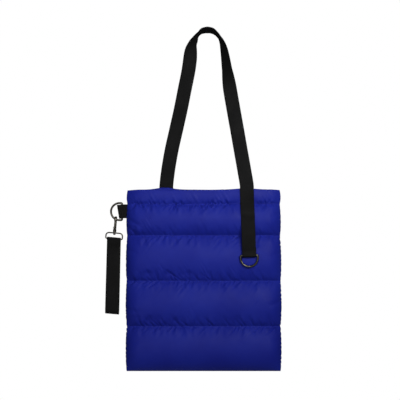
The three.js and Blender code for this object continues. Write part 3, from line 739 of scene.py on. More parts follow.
def zipped(rim_a, rim_b, points):
    """Triangles that close the gap between two rims of points, walked side by side"""
    def shares(rim):
        run = np.cumsum(np.linalg.norm(np.diff(points[rim], axis=0), axis=1))
        return np.concatenate([[0], run / run[-1]])
    share_a, share_b = shares(rim_a), shares(rim_b)
    faces, i, j = [], 0, 0
    while i < len(rim_a) - 1 or j < len(rim_b) - 1:
        on_a = j == len(rim_b) - 1 or (i < len(rim_a) - 1 and share_a[i + 1] <= share_b[j + 1])
        if on_a:
            faces.append((rim_a[i], rim_a[i + 1], rim_b[j]))
            i += 1
        else:
            faces.append((rim_a[i], rim_b[j + 1], rim_b[j]))
            j += 1
    return faces


def rims_of(rows, columns, start=0):
    """The top, right, bottom and left rims of a grid, each from one corner to the next"""
    index = start + np.arange(rows * columns).reshape(rows, columns)
    return index[0], index[:, -1], index[-1, ::-1], index[::-1, 0]


def closed_panel(name, outer, outer_uv, inner, inner_uv):
    """A closed padded panel from the grids of its outer and inner faces"""
    rows, columns = outer.shape[:2]
    start = rows * columns
    points = np.concatenate([outer.reshape(-1, 3), inner.reshape(-1, 3)])
    uv = np.concatenate([outer_uv.reshape(-1, 2), inner_uv.reshape(-1, 2)])
    faces = grid_faces(rows, columns).tolist()
    faces += (grid_faces(*inner.shape[:2])[:, ::-1] + start).tolist()
    for rim_a, rim_b in zip(rims_of(rows, columns), rims_of(*inner.shape[:2], start)):
        faces += [tuple(int(k) for k in reversed(face)) for face in zipped(rim_a, rim_b, points)]
    corner_uv = uv[np.concatenate([np.asarray(face) for face in faces])]
    return outward(mesh_of(name, points, faces, corner_uv))


class PanelSide:
    """One of the two panels: which way it faces, its lifts and dents, and the seeds of its small gathers"""

    def __init__(self, name, facing, lifts, dents, seed):
        self.name, self.facing, self.lifts, self.dents, self.seed = name, facing, lifts, dents, seed


PANEL_SIDES = (
    PanelSide("front", -1, FRONT_LIFTS, FRONT_DENTS, 11),
    PanelSide("back", 1, BACK_LIFTS, BACK_DENTS, 47),
)


def world_points(quilt, side, x, down, off):
    """World points of a panel from distances across, down and off its middle plane"""
    return np.stack([x + quilt.s.offset, side.facing * off, quilt.height_at(x, down, side.lifts)], -1)


def seam_gathers(quilt, side, x, down):
    """Depth of the small folds that run into the quilting seams"""
    depth = np.zeros_like(x)
    for i, end in enumerate(quilt.ends[:-1] * quilt.s.height):
        for j, beyond in enumerate((down <= end, down >= end)):
            off = np.abs(down - end)
            seed = side.seed + 10 * i + j
            lean = off * (0.8 if j else 0.6)
            reach = 0.009 + 0.004 * wavy(x, 0.05, seed + 3)
            strength = 0.55 + 0.45 * wavy(x, 0.08, seed + 5)
            fold = wavy(x + lean, 0.0115, seed) * strength
            depth += np.where(beyond, fold * 0.0005 * (0.25 + off / 0.004) * np.exp(-off / reach), 0)
    return depth


def seam_puckers(quilt, side, x, down):
    """Depth of the narrow folds that run up and down from the quilting seams, wider and shallower as they go"""
    depth = np.zeros_like(x)
    for i, end in enumerate(quilt.ends[:-1] * quilt.s.height):
        for j, (count, reach, deep, lean) in enumerate(PUCKERS[i]):
            random = np.random.RandomState(side.seed + 10 * i + j)
            off = down - end if j else end - down
            near = np.flatnonzero(((off > 0) & (off < 3 * reach)).any(1))
            rows = slice(near[0], near[-1] + 1)
            run = np.maximum(off[rows], 0)
            wide = 0.0016 + 0.14 * run
            for _ in range(count):
                at = random.uniform(-0.97, 0.97) * quilt.half
                long, size = reach * random.uniform(0.4, 1.5), deep * random.uniform(0.3, 1.3)
                across = x[rows] - at + (lean + random.normal(0, 0.4)) * run
                fold = bump(across, wide) - 0.5 * bump(across - 2.2 * wide, 1.5 * wide)
                depth[rows] += size * fold * bump(run, long) * np.clip(run / 0.002, 0, 1)
    return depth


def hem_tucks(quilt, side, x, down):
    """Depth of the tiny gathers that the hem's stitches pull in"""
    pitch, deep, reach = HEM_TUCKS
    strength = 0.6 + 0.4 * wavy(x, 0.06, side.seed + 7)
    return deep * strength * (1 + wavy(x, pitch, side.seed + 9)) * bump(down - quilt.s.hem, reach)


def side_scallops(quilt, side_of_bag, down):
    """How far the side seam is drawn in by its gathers"""
    s = quilt.s
    phase = down / s.gather_pitch + 0.35 * wavy(down, 0.05, 5 + side_of_bag)
    notch = 1 - np.abs(np.sin(np.pi * phase)) ** 0.6
    strength = 0.6 + 0.4 * wavy(down, 0.06, 8 + side_of_bag)
    return s.side_gather * notch * strength * eased(down, s.hem, s.hem + 0.02) * eased(
        s.height - down, 0.0, 0.02)


def panel_faces(quilt, webbing):
    """The finished outer faces of both panels as grids of points, with their distances down and across"""
    s = quilt.s
    rows, seams = quilt.rows()
    down = np.repeat(rows[:, None], quilt.columns(rows).shape[1], 1)
    x = quilt.columns(rows)
    forms = [quilt.outer(x, down, side.dents) for side in PANEL_SIDES]
    padded = np.stack([world_points(quilt, side, x, down, off) for side, off in zip(PANEL_SIDES, forms)])
    settled = padded
    held = np.zeros(x.shape, bool)
    held[[0, *seams, -1], :] = True
    held[:, [0, -1]] = True
    loose = np.stack([world_points(quilt, side, x, down, quilt.outer(x, down, side.dents, s.slack))
                      for side in PANEL_SIDES])
    spare = np.stack([spare_fabric(quilt, side, x, down) for side in PANEL_SIDES])
    settled = settled_cloth(loose, np.stack([held, held]), spare, s)
    faces = []
    for i, side in enumerate(PANEL_SIDES):
        moved = settled[i] - padded[i]
        out = moved[..., 1] * side.facing
        limit = np.full_like(out, s.swell)
        if side.facing < 0:
            limit = s.swell * (1 - 0.97 * beside_strap(quilt, webbing, x, down))
        out = np.where(out > 0, limit * (1 - np.exp(-out / limit)), out)
        room = forms[i] - quilt.inner(x, down) - 0.001
        out = np.maximum(out, -np.maximum(room, 0))
        across = np.clip(moved[..., 0], -0.004, 0.004)
        drop_by = np.clip(moved[..., 2], -0.004, 0.004)
        grid = np.stack([across, out, drop_by, x, down], -1)
        grid = doubled(doubled(grid, seams, 0), (), 1)
        fine_x, fine_down = grid[..., 3], grid[..., 4]
        off = quilt.outer(fine_x, fine_down, side.dents) + grid[..., 1]
        full = quilt.channel_at(fine_down)[1] ** 0.5
        calm = 1 if side.facing > 0 else 1 - beside_strap(quilt, webbing, fine_x, fine_down)
        rim = eased(quilt.half_width(fine_down) - np.abs(fine_x), 0, 0.02)
        folds = seam_gathers(quilt, side, fine_x, fine_down) + seam_puckers(quilt, side, fine_x, fine_down)
        off -= (folds * (0.3 + 0.7 * full) + hem_tucks(quilt, side, fine_x, fine_down)) * rim * calm
        off = np.maximum(off, quilt.inner(fine_x, fine_down) + 0.001)
        points = world_points(quilt, side, fine_x, fine_down, off)
        points[..., 0] += grid[..., 0]
        points[..., 2] += grid[..., 2]
        points[..., 0] -= scallop_shift(quilt, fine_x, fine_down)
        faces.append((points, fine_x, fine_down, [2 * row for row in seams]))
    return faces


def scallop_shift(quilt, x, down):
    """How far to the right the side gathers pull a point's edge in, fading towards the bag's middle"""
    near = 1 - eased(quilt.half_width(down) - np.abs(x), 0, 0.012)
    return near * np.where(x > 0, side_scallops(quilt, 1, down), -side_scallops(quilt, 0, down))


def rolled_top(outer_row, inner_row, steps=6):
    """Rows of points that carry a panel's top edge over from its inner face to its outer face"""
    turn = np.linspace(np.pi, 0, steps + 1)[:, None, None]
    middle = (outer_row + inner_row) / 2
    reach = (outer_row - inner_row) / 2
    lift = np.linalg.norm(reach, axis=-1)[None, :, None] * np.sin(turn) * np.array([0, 0, 1.0])
    return middle[None] + reach[None] * np.cos(turn) + lift


def build_panels(context):
    """Both quilted panels"""
    quilt, webbing = quilt_form(context), context.scene.shopper_webbing
    nylon = shared("royal_blue_nylon", lambda: nylon_material(context))
    for side, (points, x, down, seams) in zip(PANEL_SIDES, panel_faces(quilt, webbing)):
        coarse_x, coarse_down = x[2::2, ::2], down[2::2, ::2]
        inner = world_points(quilt, side, coarse_x, coarse_down, quilt.inner(coarse_x, coarse_down))
        inner[..., 0] -= scallop_shift(quilt, coarse_x, coarse_down)
        rim = world_points(quilt, side, x[1], down[1], quilt.inner(x[1], down[1]))
        rim[:, 2] = points[1, :, 2]
        roll = rolled_top(points[1], rim)[:-1]
        outer = np.concatenate([roll, points[1:]])
        uv = np.stack([x, -down], -1)
        roll_uv = np.repeat(uv[1:2], len(roll), 0)
        mesh = closed_panel(f"{side.name}_quilt", outer, np.concatenate([roll_uv, uv[1:]]),
                            inner, np.stack([coarse_x, -coarse_down], -1))
        panel = finished(f"{side.name}_quilt", mesh, "bag", "quilted_nylon", nylon, f"{side.name}_panel")
        keep_seams(side, points, seams)


# The seams' places, kept by build_panels for the stitches
SEAM_LINES = []


def keep_seams(side, points, seams):
    """Remembers where a panel's quilting seams run"""
    for number, row in enumerate(seams):
        line = points[row, 3:-3]
        lift = np.array([0, side.facing * 0.0002, 0])
        SEAM_LINES.append((number, line + lift, np.tile([0.0, side.facing, 0.0], (len(line), 1))))


def build_quilting_thread(context):
    """The stitches of the hem and the quilting seams"""
    thread = context.scene.shopper_thread
    material = shared("blue_thread", lambda: thread_material(context, "blue_thread"))
    for name, is_hem, pitch, thickness in (("hem_stitches", True, thread.hem_pitch, thread.strong),
                                           ("quilting_stitches", False, thread.quilt_pitch, thread.fine)):
        seams = [(line, face) for number, line, face in SEAM_LINES if (number == 0) == is_hem]
        mesh = stitched(name, [line for line, _ in seams], [face for _, face in seams], pitch, thickness, material)
        finished(name, mesh, "bag", "quilted_nylon", material)


def quilt_form(context):
    """The padded form, from the sizes in the scene"""
    return Quilt(context.scene.shopper_quilt, -context.scene.shopper_webbing.drop)


# Webbing

# From the front hem up the right limb, over the top bend and down the left limb: share of the spread, share of
# the drop, and how many degrees the band's face is turned edge-on
STRAP_ROUTE = (
    (0.488, -0.975, 0), (0.456, -0.875, 0), (0.412, -0.749, 0), (0.369, -0.624, 0), (0.325, -0.499, 0),
    (0.282, -0.373, 7), (0.245, -0.248, 44), (0.2075, -0.123, 60), (0.18, -0.073, 72), (0.152, -0.045, 80),
    (0.1117, -0.02, 78), (0.0646, -0.003, 71), (0, 0.0026, 68), (-0.0596, -0.003, 71), (-0.103, -0.019, 80),
    (-0.134, -0.036, 76), (-0.159, -0.06, 63), (-0.184, -0.085, 53), (-0.2025, -0.123, 30),
    (-0.216, -0.185, 4), (-0.2335, -0.248, 0), (-0.283, -0.373, 0), (-0.333, -0.499, 0), (-0.389, -0.624, 0),
    (-0.4446, -0.749, 0), (-0.488, -0.875, 0), (-0.511, -0.975, 0),
)
TAIL_LEAN = math.radians(1.9)


def fold_round(webbing, bar, steps=14):
    """Distances along and off a fold's middle plane for webbing that folds round a bar and comes back"""
    radius = bar / 2 + webbing.clearance + webbing.thickness / 2
    half_ply = (webbing.thickness + webbing.clearance) / 2
    start = math.atan2(half_ply, webbing.fold_meet) + math.acos(
        radius / math.hypot(webbing.fold_meet, half_ply))
    turn = np.linspace(start, 2 * math.pi - start, steps + 1)
    round_bar = np.stack([radius * np.cos(turn), radius * np.sin(turn)], 1)
    ends = np.array([[webbing.fold_meet, half_ply], [webbing.fold_meet, -half_ply]])
    return np.concatenate([ends[:1], round_bar, ends[1:]])


def rest_on(quilt, webbing, facing, world_x, down):
    """Distance in y of a band that lies on a panel, clear of it across the band's whole width"""
    across = world_x - quilt.s.offset + np.linspace(-0.5, 0.5, 5) * webbing.width
    dents = FRONT_DENTS if facing < 0 else BACK_DENTS
    off = quilt.outer(across, np.full(5, max(down, 0.0)), dents).max()
    return facing * (off + webbing.clearance * 0.3 + webbing.thickness / 2)


def strap_path(context):
    """Middle points of the shoulder strap from the tail's fold to its back end, and the directions across it"""
    quilt, webbing = quilt_form(context), context.scene.shopper_webbing
    ring_wire = context.scene.shopper_metal.ring_wire
    ring_x, hang, ring_z = joints["tail_ring_swing"]["pos_m"]
    lean = np.array([math.cos(TAIL_LEAN), 0, math.sin(TAIL_LEAN)])
    ring_down = quilt.top - ring_z
    half_ply = (webbing.thickness + webbing.clearance) / 2
    points, across = [], []

    def tail(down, y):
        points.append((strap_x(webbing, down), y, quilt.top - down))
        across.append(lean)

    fold_start = webbing.tail - webbing.tail_fold
    tail(fold_start, hang + half_ply)
    for along, off in fold_round(webbing, ring_wire):
        tail(ring_down - along, hang + off)
    hem, pitch = quilt.s.hem, quilt.pitch
    at_hem = rest_on(quilt, webbing, -1, strap_x(webbing, hem / 2), hem / 2)
    on_channel = rest_on(quilt, webbing, -1, strap_x(webbing, pitch * 0.62), pitch * 0.62)
    for down, y in (
        (fold_start - webbing.tail_fold * 0.6, hang - half_ply),
        (pitch * 0.92, on_channel + (hang - on_channel) * 0.55), (pitch * 0.66, on_channel),
        (pitch * 0.5, on_channel), (hem * 1.25, (at_hem + on_channel) / 2), (hem * 0.9, at_hem),
        (hem * 0.45, at_hem), (0, at_hem),
    ):
        tail(down, y)
    at_back = rest_on(quilt, webbing, 1, STRAP_ROUTE[-1][0] * webbing.spread, hem / 2)
    route = [(x * webbing.spread, (at_hem if x > 0 else at_back) * min(max(-z / 0.975, 0), 1), z * webbing.drop)
             for x, z, _ in STRAP_ROUTE]
    turned = [points[-1], *route, route[-1]]
    for i, point in enumerate(route, 1):
        ahead = np.subtract(turned[i + 1], turned[i - 1])
        outside = np.array([ahead[2], 0, -ahead[0]]) / math.hypot(ahead[0], ahead[2])
        turn = math.radians(STRAP_ROUTE[i - 1][2])
        points.append(point)
        across.append(outside * math.cos(turn) - np.array([0, math.sin(turn), 0]))
    for down in (hem * 0.1, hem * 0.5, webbing.back_tail):
        points.append((route[-1][0], at_back, quilt.top - down))
        across.append(np.array([-1.0, 0, 0]))
    return smooth_path(points, across, webbing.step)


def build_strap(context):
    """The shoulder strap with its tail"""
    webbing = context.scene.shopper_webbing
    path, across = strap_path(context)
    mesh = swept("strap_webbing", band_profile(webbing.width, webbing.thickness), path, across)
    material = shared("webbing_black", lambda: webbing_material(context))
    finished("strap_webbing", mesh, "bag", "webbing", material, "shoulder_strap")


def build_tab(context):
    """The folded tab in the left side seam"""
    quilt, webbing = quilt_form(context), context.scene.shopper_webbing
    bar_x = joints["side_ring_swing"]["pos_m"][0]
    seam_x = bar_x + webbing.tab_length + webbing.tab_tuck
    level = quilt.top - webbing.tab_drop
    half_ply = (webbing.thickness + webbing.clearance) / 2
    fold = [(bar_x + along - (webbing.tab_slack if along < 0 else 0), off, level)
            for along, off in fold_round(webbing, context.scene.shopper_metal.ring_wire)]
    points = [(seam_x, half_ply * 0.9, level), *fold, (seam_x, -half_ply * 0.9, level)]
    path, across = smooth_path(points, np.tile([0.0, 0.0, 1.0], (len(points), 1)), webbing.step / 2)
    mesh = swept("tab_webbing", band_profile(webbing.width, webbing.thickness), path, across)
    for vertex in mesh.vertices:
        beyond = float(1 - eased(vertex.co.x, bar_x - webbing.tab_slack, bar_x))
        vertex.co.x += beyond * webbing.tab_slant * (level - vertex.co.z)
        vertex.co.z -= beyond * 0.001
    material = shared("webbing_black", lambda: webbing_material(context))
    finished("tab_webbing", mesh, "bag", "webbing", material, "side_tab")


def wrist_path(context):
    """Middle points of the wrist loop in the hook's own frame, as y and z, and the height of the eye's lower bar"""
    webbing, metal = context.scene.shopper_webbing, context.scene.shopper_metal
    bar_z = hook_places(metal, context)["eye_low"]
    half_ply = (webbing.thickness + webbing.clearance) / 2
    wide = (webbing.wrist_opening - webbing.thickness) / 2
    low = bar_z - webbing.wrist + wide + webbing.thickness / 2
    band_top = bar_z - webbing.fold_meet
    half = [(half_ply, band_top - webbing.wrist_band)]
    for share in (0.1, 0.25, 0.45, 0.7, 1):
        z = band_top - webbing.wrist_band + (low - band_top + webbing.wrist_band) * share
        half.append((half_ply + (wide - half_ply) * math.sin(math.pi / 2 * share) ** 1.3, z))
    for i in range(1, 5):
        half.append((wide * math.cos(math.pi / 10 * i), low - wide * math.sin(math.pi / 10 * i)))
    front = [(-y, z) for y, z in half]
    fold = [(off, bar_z - along) for along, off in fold_round(webbing, metal.eye_wire)]
    return [*fold, *front, (0, low - wide), *reversed(half)], bar_z


def build_wrist_loop(context):
    """The wristlet's webbing loop"""
    webbing = context.scene.shopper_webbing
    outline, bar_z = wrist_path(context)
    points = in_hook_frame([(math.tan(WRIST_LEAN) * (bar_z - z), y, z) for y, z in outline])
    across = np.tile(HOOK_FRAME[1][:, 0], (len(points), 1))
    path, across = smooth_path(points, across, webbing.step, closed=True)
    mesh = swept("wrist_webbing", band_profile(webbing.width, webbing.thickness), path, across, closed=True)
    material = shared("webbing_black", lambda: webbing_material(context))
    finished("wrist_webbing", mesh, "wristlet", "webbing", material, "wrist_loop")


# Metal fittings

HOOK_LEAN = math.radians(5)
HOOK_ANGLE = math.radians(27.2)
WRIST_LEAN = math.radians(5 - 1.4)
HOOK_FRAME = (
    np.array(joints["wristlet_swing"]["pos_m"]),
    np.array([[math.cos(HOOK_LEAN), 0, math.sin(HOOK_LEAN)], [0, 1, 0],
              [-math.sin(HOOK_LEAN), 0, math.cos(HOOK_LEAN)]]),
)


def in_hook_frame(points):
    """World points from points of the hook's own frame, whose origin the ring's wire passes, Z up the shank"""
    place, turn = HOOK_FRAME
    return np.asarray(points, float) @ turn.T + place


def arc(centre, radius, start, end, steps):
    """Points on an arc in a plane, as pairs, with angles in degrees"""
    turn = np.radians(np.linspace(start, end, steps + 1))
    return np.stack([centre[0] + radius * np.cos(turn), centre[1] + radius * np.sin(turn)], 1)


def d_ring(name, metal, webbing, place, along, below):
    """A D-ring with its straight bar along one direction and its arc below"""
    reach = (webbing.width + metal.ring_slack + metal.ring_wire) / 2
    corner = metal.ring_corner
    outline = np.concatenate([
        arc((corner - reach, -corner), corner, 180, 90, 6),
        arc((reach - corner, -corner), corner, 90, 0, 6),
        arc((0, -metal.ring_leg), reach, 0, -180, 56),
    ])
    along, below = np.asarray(along, float), np.asarray(below, float)
    path = np.asarray(place) + outline[:, :1] * along - outline[:, 1:] * below
    profile = oval_profile(metal.ring_wire, metal.ring_wire)
    return swept(name, profile, path, np.cross(along, below), closed=True)


def build_rings(context):
    """The D-rings of the tail and the side tab"""
    webbing, metal = context.scene.shopper_webbing, context.scene.shopper_metal
    gunmetal = shared("gunmetal", lambda: metal_material(context))
    lean = (math.cos(TAIL_LEAN), 0, math.sin(TAIL_LEAN))
    hanging = (math.sin(TAIL_LEAN), 0, -math.cos(TAIL_LEAN))
    tail_place, side_place = (joints[name]["pos_m"] for name in ("tail_ring_swing", "side_ring_swing"))
    tail = d_ring("tail_ring_wire", metal, webbing, tail_place, lean, hanging)
    finished("tail_ring_wire", tail, "tail_ring", "dark_metal", gunmetal, "tail_d_ring")
    side = d_ring("side_ring_wire", metal, webbing, side_place, (0, 0, -1), (-1, 0, 0))
    finished("side_ring_wire", side, "side_ring", "dark_metal", gunmetal, "side_d_ring")


def hook_places(metal, context):
    """Heights and radii of the hook's parts in its own frame"""
    places = {"arch_inner": metal.throat / 2}
    tilt = HOOK_ANGLE - HOOK_LEAN
    flat = metal.hook_width * 0.19
    gap = context.scene.shopper_webbing.clearance
    places["arch_centre"] = (metal.ring_wire / 2 / math.cos(tilt) + gap + flat * math.tan(tilt)
                             - places["arch_inner"])
    places["nose"] = places["arch_centre"] - places["arch_inner"] * 0.5
    places["gate_top"] = places["nose"] - gap
    places["pivot"] = places["gate_top"] - metal.gate_length
    places["heel"] = places["pivot"] - metal.gate_bar / 2 - gap - metal.hook_bar / 2
    places["foot"] = places["heel"] - metal.base_height
    places["eye_top"] = places["foot"] - gap
    places["eye_high"] = places["eye_top"] - metal.eye_wire / 2
    places["eye_low"] = places["eye_high"] - (metal.eye_height - metal.eye_wire)
    places["knob_top"] = places["eye_top"] - metal.eye_wire - gap
    return places


def spindle(name, profile, axis_point=(0, 0), steps=0.0004, along_x=False):
    """A turned shape whose profile gives radii at places along its axis, in the hook's own frame"""
    at, radii = [], []
    for (r0, z0), (r1, z1) in zip(profile[:-1], profile[1:]):
        count = max(math.ceil(math.hypot(r1 - r0, z1 - z0) / steps), 1)
        for i in range(count):
            at.append(z0 + (z1 - z0) * i / count)
            radii.append(r0 + (r1 - r0) * i / count)
    at.append(profile[-1][1])
    radii.append(profile[-1][0])
    at = np.array(at) + np.arange(len(at)) * 2e-6 * np.sign(profile[-1][1] - profile[0][1])
    if along_x:
        path = np.stack([at, np.full_like(at, axis_point[0]), np.full_like(at, axis_point[1])], 1)
        across = (0, 1, 0)
    else:
        path = np.stack([np.full_like(at, axis_point[0]), np.full_like(at, axis_point[1]), at], 1)
        across = (1, 0, 0)
    return swept(name, oval_profile(2, 2, 28), in_hook_frame(path), HOOK_FRAME[1] @ np.array(across, float),
                 swell=np.maximum(radii, 2e-5))


def round_bar(name, width, thickness, outline, ends=0.0, closed=False):
    """A bar bent along a path of y and z in the hook's own frame, with ends rounded off over a length"""
    points = [(0, y, z) for y, z in outline]
    path, _ = smooth_path(points, np.zeros((len(points), 1)), 0.0004, closed)
    swell = np.ones(len(path))
    if ends:
        run = np.concatenate([[0], np.cumsum(np.linalg.norm(np.diff(path, axis=0), axis=1))])
        near = np.clip(np.minimum(run, run[-1] - run) / ends, 0, 1)
        swell = np.maximum(np.sqrt(1 - (1 - near) ** 2), 0.04)
    return swept(name, oval_profile(width, thickness, 24), in_hook_frame(path), HOOK_FRAME[1][:, 0],
                 swell=swell, closed=closed)


def build_hook(context):
    """The snap hook with its swivel pin, and its sprung gate"""
    metal = context.scene.shopper_metal
    at = hook_places(metal, context)
    bend = at["arch_inner"] + metal.hook_bar / 2
    heel, heel_radius = at["heel"], metal.hook_bar * 1.3
    outline = [
        (-bend, at["nose"]), (-bend, at["nose"] + metal.hook_bar * 0.2),
        *arc((0, at["arch_centre"]), bend, 180, 0, 16),
        *[(bend, z) for z in np.linspace(at["arch_centre"], heel + heel_radius, 5)[1:]],
        *arc((bend - heel_radius, heel + heel_radius), heel_radius, 0, -90, 6)[1:],
        (0, heel), (-bend, heel), (-bend - metal.hook_bar * 0.4, heel),
    ]
    frame_bar = round_bar("hook_frame", metal.hook_width, metal.hook_bar, outline, ends=0.0016)
    base, knob = metal.base / 2, metal.knob / 2
    shank = spindle("hook_shank", [
        (0, heel + 0.0012), (base * 0.55, heel + 0.0010), (base * 0.8, heel),
        (base * 0.97, heel - metal.hook_bar * 0.5), (base, heel - metal.hook_bar * 0.65),
        (base, at["foot"] + metal.hook_bar * 0.3), (base * 0.94, at["foot"] + 0.0004), (base * 0.84, at["foot"]),
        (metal.pin / 2, at["foot"]), (metal.pin / 2, at["knob_top"]), (knob * 0.9, at["knob_top"]),
        (knob, at["knob_top"] - 0.0003), (knob * 0.98, at["knob_top"] - metal.knob_height * 0.5),
        (knob * 0.72, at["knob_top"] - metal.knob_height * 0.85), (knob * 0.35, at["knob_top"] - metal.knob_height),
        (0, at["knob_top"] - metal.knob_height),
    ])
    cheek = metal.hook_width * 0.4 + 0.00025
    cheeks = [spindle(f"hook_cheek_{i}", [
        (0, side * cheek), (0.0019, side * cheek), (0.0021, side * (cheek + 0.0002)),
        (0.0021, side * (cheek + 0.0007)), (0.0018, side * (cheek + 0.0009)), (0, side * (cheek + 0.0009)),
    ], (-bend, at["pivot"] - 0.0002), along_x=True) for i, side in enumerate((-1, 1))]
    gunmetal = shared("gunmetal", lambda: metal_material(context))
    hook = united("hook_body", [frame_bar, shank, *cheeks])
    hook.set_sharp_from_angle(angle=math.radians(40))
    finished("hook_body", hook, "hook", "dark_metal", gunmetal, "snap_hook")
    tip = metal.gate_bar * 0.25
    bottom = at["pivot"] - metal.gate_bar / 2
    lever = round_bar("gate_lever", metal.hook_width * 0.8, metal.gate_bar,
                      [(-bend, bottom), (-bend, bottom + tip), (-bend, at["pivot"]),
                       (-bend, at["gate_top"] - tip), (-bend, at["gate_top"])], ends=0.0011)
    finished("gate_lever", lever, "gate", "dark_metal", gunmetal, "hook_gate")


def build_eye(context):
    """The wire eye that turns on the hook's pin"""
    webbing, metal = context.scene.shopper_webbing, context.scene.shopper_metal
    at = hook_places(metal, context)
    reach = (webbing.width + metal.eye_slack + metal.eye_wire) / 2
    rise = metal.eye_height - metal.eye_wire
    shoulder, corner = rise * 0.5, metal.eye_wire * 0.85
    outline = np.concatenate([
        arc((shoulder - reach, -shoulder), shoulder, 180, 90, 12),
        arc((reach - shoulder, -shoulder), shoulder, 90, 0, 12),
        arc((reach - corner, corner - rise), corner, 0, -90, 6),
        arc((corner - reach, corner - rise), corner, -90, -180, 6),
    ])
    path = np.stack([outline[:, 0], np.zeros(len(outline)), outline[:, 1] + at["eye_high"]], 1)
    loop = swept("eye_loop", oval_profile(metal.eye_wire, metal.eye_wire), in_hook_frame(path), (0, 1, 0),
                 closed=True)
    below, boss, bore = at["eye_top"] - metal.eye_wire, metal.eye_boss / 2, metal.pin / 2 + metal.pin_play
    sleeve = spindle("eye_boss", [
        (0, below), (boss * 0.9, below), (boss, below + 0.0004), (boss, at["eye_top"] - 0.0004),
        (boss * 0.9, at["eye_top"]), (0, at["eye_top"]),
    ])
    hole = spindle("eye_bore", [(0, below - 0.001), (bore, below - 0.0009), (bore, at["eye_top"] + 0.0009),
                                (0, at["eye_top"] + 0.001)])
    eye = united("eye_wire", [loop, sleeve], cut=[hole])
    eye.set_sharp_from_angle(angle=math.radians(40))
    gunmetal = shared("gunmetal", lambda: metal_material(context))
    finished("eye_wire", eye, "wristlet", "dark_metal", gunmetal, "swivel_eye")


# Stitches in the webbing

def line_between(start, end, pitch):
    """Points about half a stitch apart on a straight line"""
    count = max(math.ceil(np.linalg.norm(np.subtract(end, start)) / (pitch / 2)), 1)
    share = np.linspace(0, 1, count + 1)[:, None]
    return np.asarray(start) * (1 - share) + np.asarray(end) * share


def box_and_cross(wide, tall):
    """Lines of a box with a cross in it, about its own middle"""
    a, b, c, d = (-wide, tall), (wide, tall), (wide, -tall), (-wide, -tall)
    return [(a, b), (b, c), (c, d), (d, a), (a, c), (b, d)]


def on_strap(context, path, across, lines, facing):
    """Rows of points on the face of the strap, from lines given as distances across and down"""
    webbing, pitch = context.scene.shopper_webbing, context.scene.shopper_thread.strap_pitch
    top = -webbing.drop
    part = path[(path[:, 2] <= top + 0.004) & (np.sign(path[:, 1]) == facing)]
    if facing < 0:
        hang = joints["tail_ring_swing"]["pos_m"][1]
        part = part[(part[:, 1] < hang) | (part[:, 2] > top - webbing.tail + webbing.tail_fold)]
    order = np.argsort(part[:, 2])
    rows = []
    for start, end in lines:
        flat = line_between(start, end, pitch)
        z = top - flat[:, 1]
        y = np.interp(z, part[order, 2], part[order, 1]) + facing * (webbing.thickness / 2)
        if facing < 0:
            x = strap_x(webbing, flat[:, 1]) + flat[:, 0]
        else:
            x = STRAP_ROUTE[-1][0] * webbing.spread + flat[:, 0]
        rows.append(np.stack([x, y, z], 1))
    return rows


def build_strap_thread(context):
    """The stitches that hold the strap's tail, its ring's fold and its back end"""
    webbing, thread = context.scene.shopper_webbing, context.scene.shopper_thread
    path, across = strap_path(context)
    wide = webbing.width / 2 - thread.box_inset
    hem = context.scene.shopper_quilt.hem

    def box(middle, tall):
        return [((a[0], middle - a[1]), (b[0], middle - b[1])) for a, b in box_and_cross(wide, tall)]

    fold = webbing.tail - webbing.tail_fold
    front = box(hem * 0.48, hem * 0.41) + [((-wide, fold + k), (wide, fold + k)) for k in (0.0015, 0.0035)]
    back = box(hem * 0.46, hem * 0.36)
    rows = [(row, -1) for row in on_strap(context, path, across, front, -1)]
    rows += [(row, 1) for row in on_strap(context, path, across, back, 1)]
    facings = [np.tile([0.0, facing, 0.0], (len(row), 1)) for row, facing in rows]
    material = shared("black_thread", lambda: thread_material(context, "black_thread"))
    mesh = stitched("strap_stitches", [row for row, _ in rows], facings, thread.strap_pitch,
                    thread.strong, material)
    finished("strap_stitches", mesh, "bag", "webbing", material)


def build_wrist_thread(context):
    """The stitches of the wrist loop's sewn band"""
    webbing, thread = context.scene.shopper_webbing, context.scene.shopper_thread
    _, bar_z = wrist_path(context)
    wide = webbing.width / 2 - thread.box_inset * 0.7
    off = (webbing.thickness + webbing.clearance) / 2 + webbing.thickness / 2
    band_top = bar_z - webbing.fold_meet
    rows, facings = [], []
    for facing in (-1, 1):
        levels = np.arange(band_top - webbing.wrist_band + 0.0008, band_top, thread.band_pitch)
        for number, z in enumerate(levels):
            lean = math.tan(WRIST_LEAN) * (bar_z - z)
            shift = number % 2 * thread.strap_pitch / 2
            flat = line_between((lean - wide + shift, z), (lean + wide, z), thread.strap_pitch)
            rows.append(in_hook_frame(np.stack([flat[:, 0], np.full(len(flat), facing * off), flat[:, 1]], 1)))
            facings.append(np.tile([0.0, facing, 0.0], (len(flat), 1)))
    material = shared("black_thread", lambda: thread_material(context, "black_thread"))
    mesh = stitched("wrist_stitches", rows, facings, thread.strap_pitch, thread.strong, material)
    finished("wrist_stitches", mesh, "wristlet", "webbing", material)


# Materials

def weave_group():
    """A plain weave: how high the thread stands, from threads to the metre across and along"""
    tree, wiring, given = tree_with(
        "plain_weave", "ShaderNodeTree",
        [("Vector", "NodeSocketVector", None), ("Across", "NodeSocketFloat", 3000.0),
         ("Along", "NodeSocketFloat", 3000.0)],
        [("Height", "NodeSocketFloat")])
    place = wiring.add("ShaderNodeSeparateXYZ", {0: given["Vector"]}).outputs
    waves = [wiring.math("SINE", wiring.math("MULTIPLY", wiring.math("MULTIPLY", place[axis], given[name]), math.pi))
             for axis, name in ((0, "Across"), (1, "Along"))]
    height = wiring.math("MULTIPLY_ADD", wiring.math("MULTIPLY", *waves), 0.5, 0.5)
    close_tree(wiring, Height=height)
    return tree


